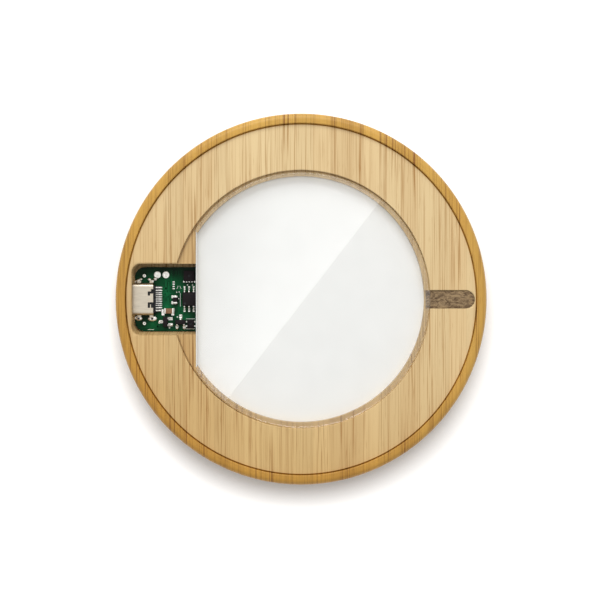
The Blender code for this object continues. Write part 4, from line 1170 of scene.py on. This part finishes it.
def gull_leg(start, knee, reach, height, wide, thick=0.15):
    """A leg that leaves the body, bends down and lies flat on its pad, along +Y."""
    shape = bmesh.new()
    points = ((start, height), (knee, height), (knee + (reach - knee) * 0.4, 0.12), (reach, 0.12))
    verts = [shape.verts.new((-wide / 2, along, up)) for along, up in points]
    edges = [shape.edges.new(pair) for pair in zip(verts, verts[1:])]
    moved = new_verts(bmesh.ops.extrude_edge_only(shape, edges=edges))
    bmesh.ops.translate(shape, vec=(wide, 0.0, 0.0), verts=moved)
    bends = [e for e in shape.edges if len(e.link_faces) == 2]
    soften(shape, bends, 0.12, 3)
    bmesh.ops.solidify(shape, geom=shape.faces[:], thickness=thick)
    return shape


class MONITOR_OT_chips(bpy.types.Operator):
    """Moulds the legged chips and bends and solders their legs"""

    bl_idname = "monitor.chips"
    bl_label = "Legged chips"

    def execute(self, context):
        for name, node, size, rows, pitch, wide, turn in (
            ("serial_part", "serial_chip", (4.9, 3.9, 1.5), (4, 4), 1.27, 0.36, 0.0),
            ("regulator_part", "regulator_chip", (2.9, 1.3, 1.0), (2, 1), 1.9, 0.42, -90.0),
            ("protector_part", "protector_chip", (2.9, 1.3, 1.0), (1, 2), 1.9, 0.42, 0.0),
        ):
            low, high = span(node)
            middle = (low + high) / 2
            piece = bmesh.new()
            place = at(middle.x, middle.y, BOARD_TOP) @ turned(turn)
            lift = high.z - size[2] - BOARD_TOP
            add_shape(piece, moulded_body(size, lift), place)
            reach = max(high.y - low.y, high.x - low.x) / 2 if turn else (high.y - low.y) / 2
            edge, height = size[1] / 2, lift + size[2] * 0.45
            spread = Matrix.Diagonal((wide * 1.4, 0.75, 1.0, 1.0))
            for count, side in zip(rows, (0.0, math.pi)):
                for step in range(count):
                    along = (step - (count - 1) / 2) * pitch
                    spot = place @ Matrix.Rotation(side, 4, "Z") @ at(along, 0.0)
                    add_shape(piece, gull_leg(edge - 0.1, edge + 0.25, reach, height, wide), spot, finish=1)
                    add_shape(piece, lens_drop(0.2), spot @ at(0.0, reach, 0.05) @ spread, finish=1)
            if node == "serial_chip":
                dot = disc(0.3, high.z - 0.02 - BOARD_TOP, high.z - BOARD_TOP + 0.005, 24)
                add_shape(piece, dot, place @ at(-1.7, -1.2), finish=2)
            finish_piece(name, piece, [chip_epoxy(), tinned_copper(), black_nylon()], [node])
        return {"FINISHED"}


class MONITOR_OT_chip_parts(bpy.types.Operator):
    """Fires the ceramic capacitor and resistor with their tinned end caps"""

    bl_idname = "monitor.chip_parts"
    bl_label = "Capacitor and resistor"

    def execute(self, context):
        for name, node, axis, cap, finish, slot in (
            ("ceramic_capacitor", "input_capacitor", 0, 0.45, capacitor_ceramic(), "brown_ceramic"),
            ("chip_resistor", "pull_resistor", 1, 0.4, chip_epoxy(), "tinned_copper"),
        ):
            low, high = span(node)
            low.z = BOARD_TOP + 0.06
            piece = bmesh.new()
            inset = Vector((0.05, 0.05, 0.03))
            add_shape(piece, placed(low + inset, high - inset, ease=0.06))
            for end in (0, 1):
                near, far = low.copy(), high.copy()
                if end:
                    near[axis] = high[axis] - cap
                else:
                    far[axis] = low[axis] + cap
                add_shape(piece, placed(near, far, ease=0.12), finish=1)
                spot = (near + far) / 2
                spot[axis] += 0.25 if end else -0.25
                spread = Matrix.Diagonal(((far - near).x * 1.15, (far - near).y * 1.15, 1.0, 1.0))
                add_shape(piece, lens_drop(0.3), at(spot.x, spot.y, BOARD_TOP + 0.04) @ spread, finish=1)
            finish_piece(name, piece, [finish, tinned_copper()], [node])
        return {"FINISHED"}


class MONITOR_OT_air_sensors(bpy.types.Operator):
    """Makes the two small sensors that breathe the pocket's air, each with a vent"""

    bl_idname = "monitor.air_sensors"
    bl_label = "Air sensors"

    def execute(self, context):
        for name, node, vent in (("climate_part", "climate_sensor", 0.45), ("gas_part", "gas_sensor", 0.35)):
            low, high = span(node)
            middle = (low + high) / 2
            low.z = BOARD_TOP + 0.08
            piece = bmesh.new()
            case = placed(low, high, 2, 0.12, 0.06, 3)
            hole = disc(vent, high.z - 0.35, high.z + 0.2, 32)
            bmesh.ops.translate(hole, vec=(middle.x, middle.y, 0.0), verts=hole.verts)
            add_shape(piece, carve(case, [hole], finish=0))
            floor = disc(vent * 0.96, high.z - 0.34, high.z - 0.28, 32)
            add_shape(piece, floor, at(middle.x, middle.y), finish=1)
            finish_piece(name, piece, [chip_epoxy(), black_nylon()], [node])
        return {"FINISHED"}


# Status lamps: half their side, the radii of well and phosphor at foot and top, and their tabs
LAMP_HALF = 2.5
LAMP_WELL = (1.6, 2.15)
LAMP_GEL = (1.72, 1.9)
LAMP_TABS = (-1.6, 0.0, 1.6)
LAMP_TAB_OUT = 2.35
# The notch in the corner that marks one terminal, before it is turned, and how far it is moved out
NOTCH_START, NOTCH_END, NOTCH_MIDDLE, NOTCH_OUT = 1.7, 3.0, 2.35, 0.35


class MONITOR_OT_lamps(bpy.types.Operator):
    """Moulds the six status lamps with their reflector wells and phosphor"""

    bl_idname = "monitor.lamps"
    bl_label = "Status lamps"

    def execute(self, context):
        for number in range(1, 7):
            node = f"status_light_{number}"
            low, high = span(node)
            middle = (low + high) / 2
            floor = BOARD_TOP + 0.06
            case = placed((-LAMP_HALF, -LAMP_HALF, floor), (LAMP_HALF, LAMP_HALF, high.z), 2, 0.25, 0.06, 4)
            ends = (NOTCH_START, NOTCH_START, high.z - 0.4), (NOTCH_END, NOTCH_END, high.z + 1.0)
            notch = placed(*ends)
            middle_of_notch = (NOTCH_MIDDLE, NOTCH_MIDDLE, 0.0)
            bmesh.ops.rotate(notch, cent=middle_of_notch, matrix=turned(45, 3), verts=notch.verts)
            bmesh.ops.translate(notch, vec=(NOTCH_OUT, NOTCH_OUT, 0.0), verts=notch.verts)
            well = disc(LAMP_WELL[0], high.z - 0.9, high.z + 0.3, 48, LAMP_WELL[1])
            piece = bmesh.new()
            turn = Matrix.Rotation(math.atan2(middle.y, middle.x), 4, "Z")
            place = at(middle.x, middle.y) @ turn
            add_shape(piece, carve(case, [well, notch], finish=0), place)
            gel = disc(LAMP_GEL[0], high.z - 0.88, high.z - 0.3, 48, LAMP_GEL[1])
            add_shape(piece, gel, place, finish=1)
            for along in LAMP_TABS:
                for side in (1, -1):
                    ends = (along - 0.45, -0.3, floor - 0.05), (along + 0.45, 0.3, floor + 0.75)
                    tab = placed(*ends, ease=0.05)
                    add_shape(piece, tab, place @ at(0.0, side * LAMP_TAB_OUT), finish=2)
            finishes = [lamp_resin(), phosphor_gel(), tinned_copper()]
            finish_piece(f"lamp_{number}", piece, finishes, [node])
        return {"FINISHED"}


class MONITOR_OT_inner_parts(bpy.types.Operator):
    """Gives the parts inside that keep their CAD shape the material they are made of"""

    bl_idname = "monitor.inner_parts"
    bl_label = "Inner parts"

    def execute(self, context):
        screws = [f"{kind}_screw_{number}" for kind in ("board", "sensor") for number in range(1, 5)]
        for finish, nodes in (
            (solder_mask(), ("controller_board", "sensor_board")),
            (nickel_steel(), ("controller_shield",)),
            (zinc_steel(), ("fan_shaft", *screws)),
            (black_nylon(), ("fan_rotor", "sensor_case", "sensor_lid")),
            (black_nylon(), ("sensor_header", "sensor_socket", "reset_switch")),
            (chip_epoxy(), ("light_detector",)),
            (lamp_resin(), ("reset_button",)),
            (drawn_brass(), ("laser_barrel",)),
            (sintered_bronze(), ("fan_bearing",)),
            (bonded_ferrite(), ("fan_magnet", "laser_holder")),
            (enamelled_wire(), ("fan_stator",)),
        ):
            for node in nodes:
                finish_node(node, finish)
        low, high = span("sensor_pad")
        foam = placed(low, high, 2, 1.0, ease=0.08)
        finish_piece("foam_pad", foam, [urethane_foam()], ["sensor_pad"])
        return {"FINISHED"}


def soft_light(name, power, size, place, target):
    """A rectangular soft light at a place in millimetres that faces a target."""
    lamp = bpy.data.lights.new(name, "AREA")
    lamp.shape = "RECTANGLE"
    lamp.size, lamp.size_y = (side * MM for side in size)
    lamp.energy = power
    light = bpy.data.objects.new(name, lamp)
    bpy.context.scene.collection.objects.link(light)
    light.location = Vector(place) * MM
    light.rotation_euler = (Vector(target) - Vector(place)).to_track_quat("-Z", "Y").to_euler()
    return light


def seen_rays(tree):
    """One for rays that the camera, gloss or glass sends out, and nought for the rest."""
    rays = add_node(tree, "ShaderNodeLightPath").outputs
    seen = rays["Is Camera Ray"]
    for kind in ("Is Glossy Ray", "Is Transmission Ray"):
        seen = add_node(tree, "ShaderNodeMath", {0: seen, 1: rays[kind]}, operation="MAXIMUM").outputs[0]
    return seen


def paper_floor(glow):
    """White paper with a trace of fibre: it takes the shadow, and shows white to the eye, gloss and glass,
    with a painted shadow where that white gives way beside the body.
    """
    paper, tree = new_material("white paper floor", roughness=0.9, IOR=1.4)
    place = add_node(tree, "ShaderNodeTexCoord").outputs["Object"]
    fibres = add_node(
        tree, "ShaderNodeTexNoise", {"Vector": place, "Scale": 1 / (2.0 * MM), "Detail": 3.0}
    ).outputs["Fac"]
    tint = add_node(
        tree, "ShaderNodeMix", {0: fibres, 6: linear("#F4F4F3"), 7: linear("#F1F1F0")}, data_type="RGBA"
    ).outputs[2]
    shaded(tree, base_color=tint)
    # Painted shadow: the white that the eye sees gives way close to the body, most on its lower side, by an
    # occlusion test that leans towards the key
    lean = add_node(tree, "ShaderNodeCombineXYZ", {0: 0.1, 1: 0.52, 2: 0.85}).outputs["Vector"]
    near = add_node(
        tree, "ShaderNodeAmbientOcclusion", {"Distance": 10.0 * MM, "Normal": lean}, samples=16
    ).outputs["AO"]
    level = add_node(
        tree, "ShaderNodeMapRange", {"Value": near, "From Min": 0.55, "To Max": glow}
    ).outputs["Result"]
    level = add_node(
        tree, "ShaderNodeMath", {0: seen_rays(tree), 1: level}, operation="MULTIPLY"
    ).outputs[0]
    white = add_node(tree, "ShaderNodeEmission", {"Color": linear("#FFFFFF"), "Strength": level})
    dull = tree.nodes["Principled BSDF"].outputs[0]
    both = add_node(tree, "ShaderNodeAddShader", {0: dull, 1: white.outputs[0]})
    tree.links.new(both.outputs[0], tree.nodes["Material Output"].inputs["Surface"])
    return paper


def white_room(ambient):
    """A world that the eye, gloss and glass see white, while scattered light sees the ambient level."""
    world = bpy.data.worlds.new("studio")
    world.use_nodes = True
    tree = world.node_tree
    scattered = add_node(tree, "ShaderNodeLightPath").outputs["Diffuse Depth"]
    direct = add_node(tree, "ShaderNodeMath", {0: scattered, 1: 0.5}, operation="LESS_THAN").outputs[0]
    seen = add_node(
        tree, "ShaderNodeMath", {0: seen_rays(tree), 1: direct}, operation="MULTIPLY"
    ).outputs[0]
    level = add_node(
        tree, "ShaderNodeMapRange", {"Value": seen, "To Min": ambient, "To Max": 1.0}
    ).outputs["Result"]
    background = tree.nodes["Background"].inputs
    tree.links.new(level, background["Strength"])
    background["Color"].default_value = linear("#FFFFFF")
    return world


# Sizes and places in millimetres; the overhead light's place is measured from the middle of the rim
KEY_SIZE, KEY_PLACE = (700.0, 500.0), (-70.0, 660.0, 600.0)
FILL_SIZE, FILL_PLACE = (300.0, 300.0), (-20.0, 150.0, 1000.0)
OVERHEAD_SIZE = (85.0, 500.0)
OVERHEAD_EDGE = (0.0, -12.5, 700.0)
OVERHEAD_SLANT = (39.6, 51.3, 0.0)
CAMERA_SPOT = (0.0, 8.0)
CAMERA_AIM = (-0.3, -0.15)
FLOOR_HALF = 1500.0
FLOOR_DROP = 0.2


class MONITOR_OT_stage(bpy.types.Operator):
    """Sets the pale floor, the world, the soft lights and the camera"""

    bl_idname = "monitor.stage"
    bl_label = "Stage"

    def execute(self, context):
        scene, settings = context.scene, context.scene.monitor_stage
        ground = bmesh.new()
        bmesh.ops.create_grid(ground, x_segments=8, y_segments=8, size=FLOOR_HALF * MM)
        mesh = bpy.data.meshes.new("floor")
        ground.to_mesh(mesh)
        ground.free()
        mesh.materials.append(paper_floor(settings.floor_glow))
        floor = bpy.data.objects.new("floor", mesh)
        scene.collection.objects.link(floor)
        floor.location.z = CAD_BOX[0].z - FLOOR_DROP * MM
        scene.world = white_room(settings.ambient)

        middle = Vector((0.0, 0.0, RIM_LEVEL))
        soft_light("key", settings.key, KEY_SIZE, KEY_PLACE, middle)
        fill = soft_light("fill", settings.fill, FILL_SIZE, FILL_PLACE, middle)
        fill.visible_glossy = fill.visible_transmission = False
        # The overhead light's straight edge crosses the window's mirror image at the photograph's slant
        slant = Vector(OVERHEAD_SLANT).normalized()
        across = Vector((-slant.y, slant.x, 0.0))
        start = middle + Vector(OVERHEAD_EDGE) + across * OVERHEAD_SIZE[0] / 2
        box = soft_light("overhead", settings.overhead, OVERHEAD_SIZE, start, start - Vector((0, 0, 1)))
        box.rotation_euler = (0.0, 0.0, math.atan2(across.y, across.x))
        box.data.use_nodes = True
        tree = box.data.node_tree
        spot = add_node(tree, "ShaderNodeNewGeometry").outputs["Parametric"]
        spot = add_node(tree, "ShaderNodeSeparateXYZ", {"Vector": spot}).outputs["X"]
        fade = add_node(
            tree, "ShaderNodeMapRange", {"Value": spot, "To Min": 1.0, "To Max": 0.0}
        ).outputs["Result"]
        tree.links.new(fade, tree.nodes["Emission"].inputs["Strength"])

        camera = bpy.data.objects.new("camera", bpy.data.cameras.new("camera"))
        scene.collection.objects.link(camera)
        camera.data.lens = settings.lens
        camera.data.clip_start = 0.01
        camera.location = Vector((*CAMERA_SPOT, RIM_LEVEL)) * MM + Vector((0.0, 0.0, settings.camera_height))
        aim = Vector((*CAMERA_AIM, RIM_LEVEL)) * MM - camera.location
        camera.rotation_euler = (math.atan2(aim.y, -aim.z), math.atan2(-aim.x, -aim.z), 0.0)
        scene.camera = camera
        scene.view_settings.view_transform = "Standard"
        return {"FINISHED"}


class MONITOR_PT_panel(bpy.types.Panel):
    """Lists the settings and the pieces of the monitor"""

    bl_idname = "MONITOR_PT_panel"
    bl_label = "Air quality monitor"
    bl_space_type = "VIEW_3D"
    bl_region_type = "UI"
    bl_category = "Monitor"

    def draw(self, context):
        for name, group in SETTINGS:
            box = self.layout.box()
            for key in group.__annotations__:
                box.prop(getattr(context.scene, name), key)
        for operator in OPERATORS:
            self.layout.operator(operator.bl_idname)


SETTINGS = (
    ("monitor_body", MonitorBody), ("monitor_window", MonitorWindow), ("monitor_board", MonitorBoard),
    ("monitor_stage", MonitorStage),
)
OPERATORS = (
    MONITOR_OT_bamboo_body, MONITOR_OT_felt_strip, MONITOR_OT_window, MONITOR_OT_circuit_board,
    MONITOR_OT_usb_port, MONITOR_OT_chips, MONITOR_OT_chip_parts, MONITOR_OT_air_sensors, MONITOR_OT_lamps,
    MONITOR_OT_inner_parts, MONITOR_OT_stage,
)


def register():
    """Registers the settings, the operators and the panel."""
    for name, group in SETTINGS:
        bpy.utils.register_class(group)
        setattr(bpy.types.Scene, name, PointerProperty(type=group))
    for item in (*OPERATORS, MONITOR_PT_panel):
        bpy.utils.register_class(item)


def unregister():
    """Takes the panel, the operators and the settings away again."""
    for item in (MONITOR_PT_panel, *reversed(OPERATORS)):
        bpy.utils.unregister_class(item)
    for name, group in reversed(SETTINGS):
        delattr(bpy.types.Scene, name)
        bpy.utils.unregister_class(group)


def main():
    """Builds every piece in order."""
    register()
    bpy.ops.monitor.bamboo_body()
    bpy.ops.monitor.felt_strip()
    bpy.ops.monitor.window()
    bpy.ops.monitor.circuit_board()
    bpy.ops.monitor.usb_port()
    bpy.ops.monitor.chips()
    bpy.ops.monitor.chip_parts()
    bpy.ops.monitor.air_sensors()
    bpy.ops.monitor.lamps()
    bpy.ops.monitor.inner_parts()
    bpy.ops.monitor.stage()


if __name__ == "__main__":
    main()
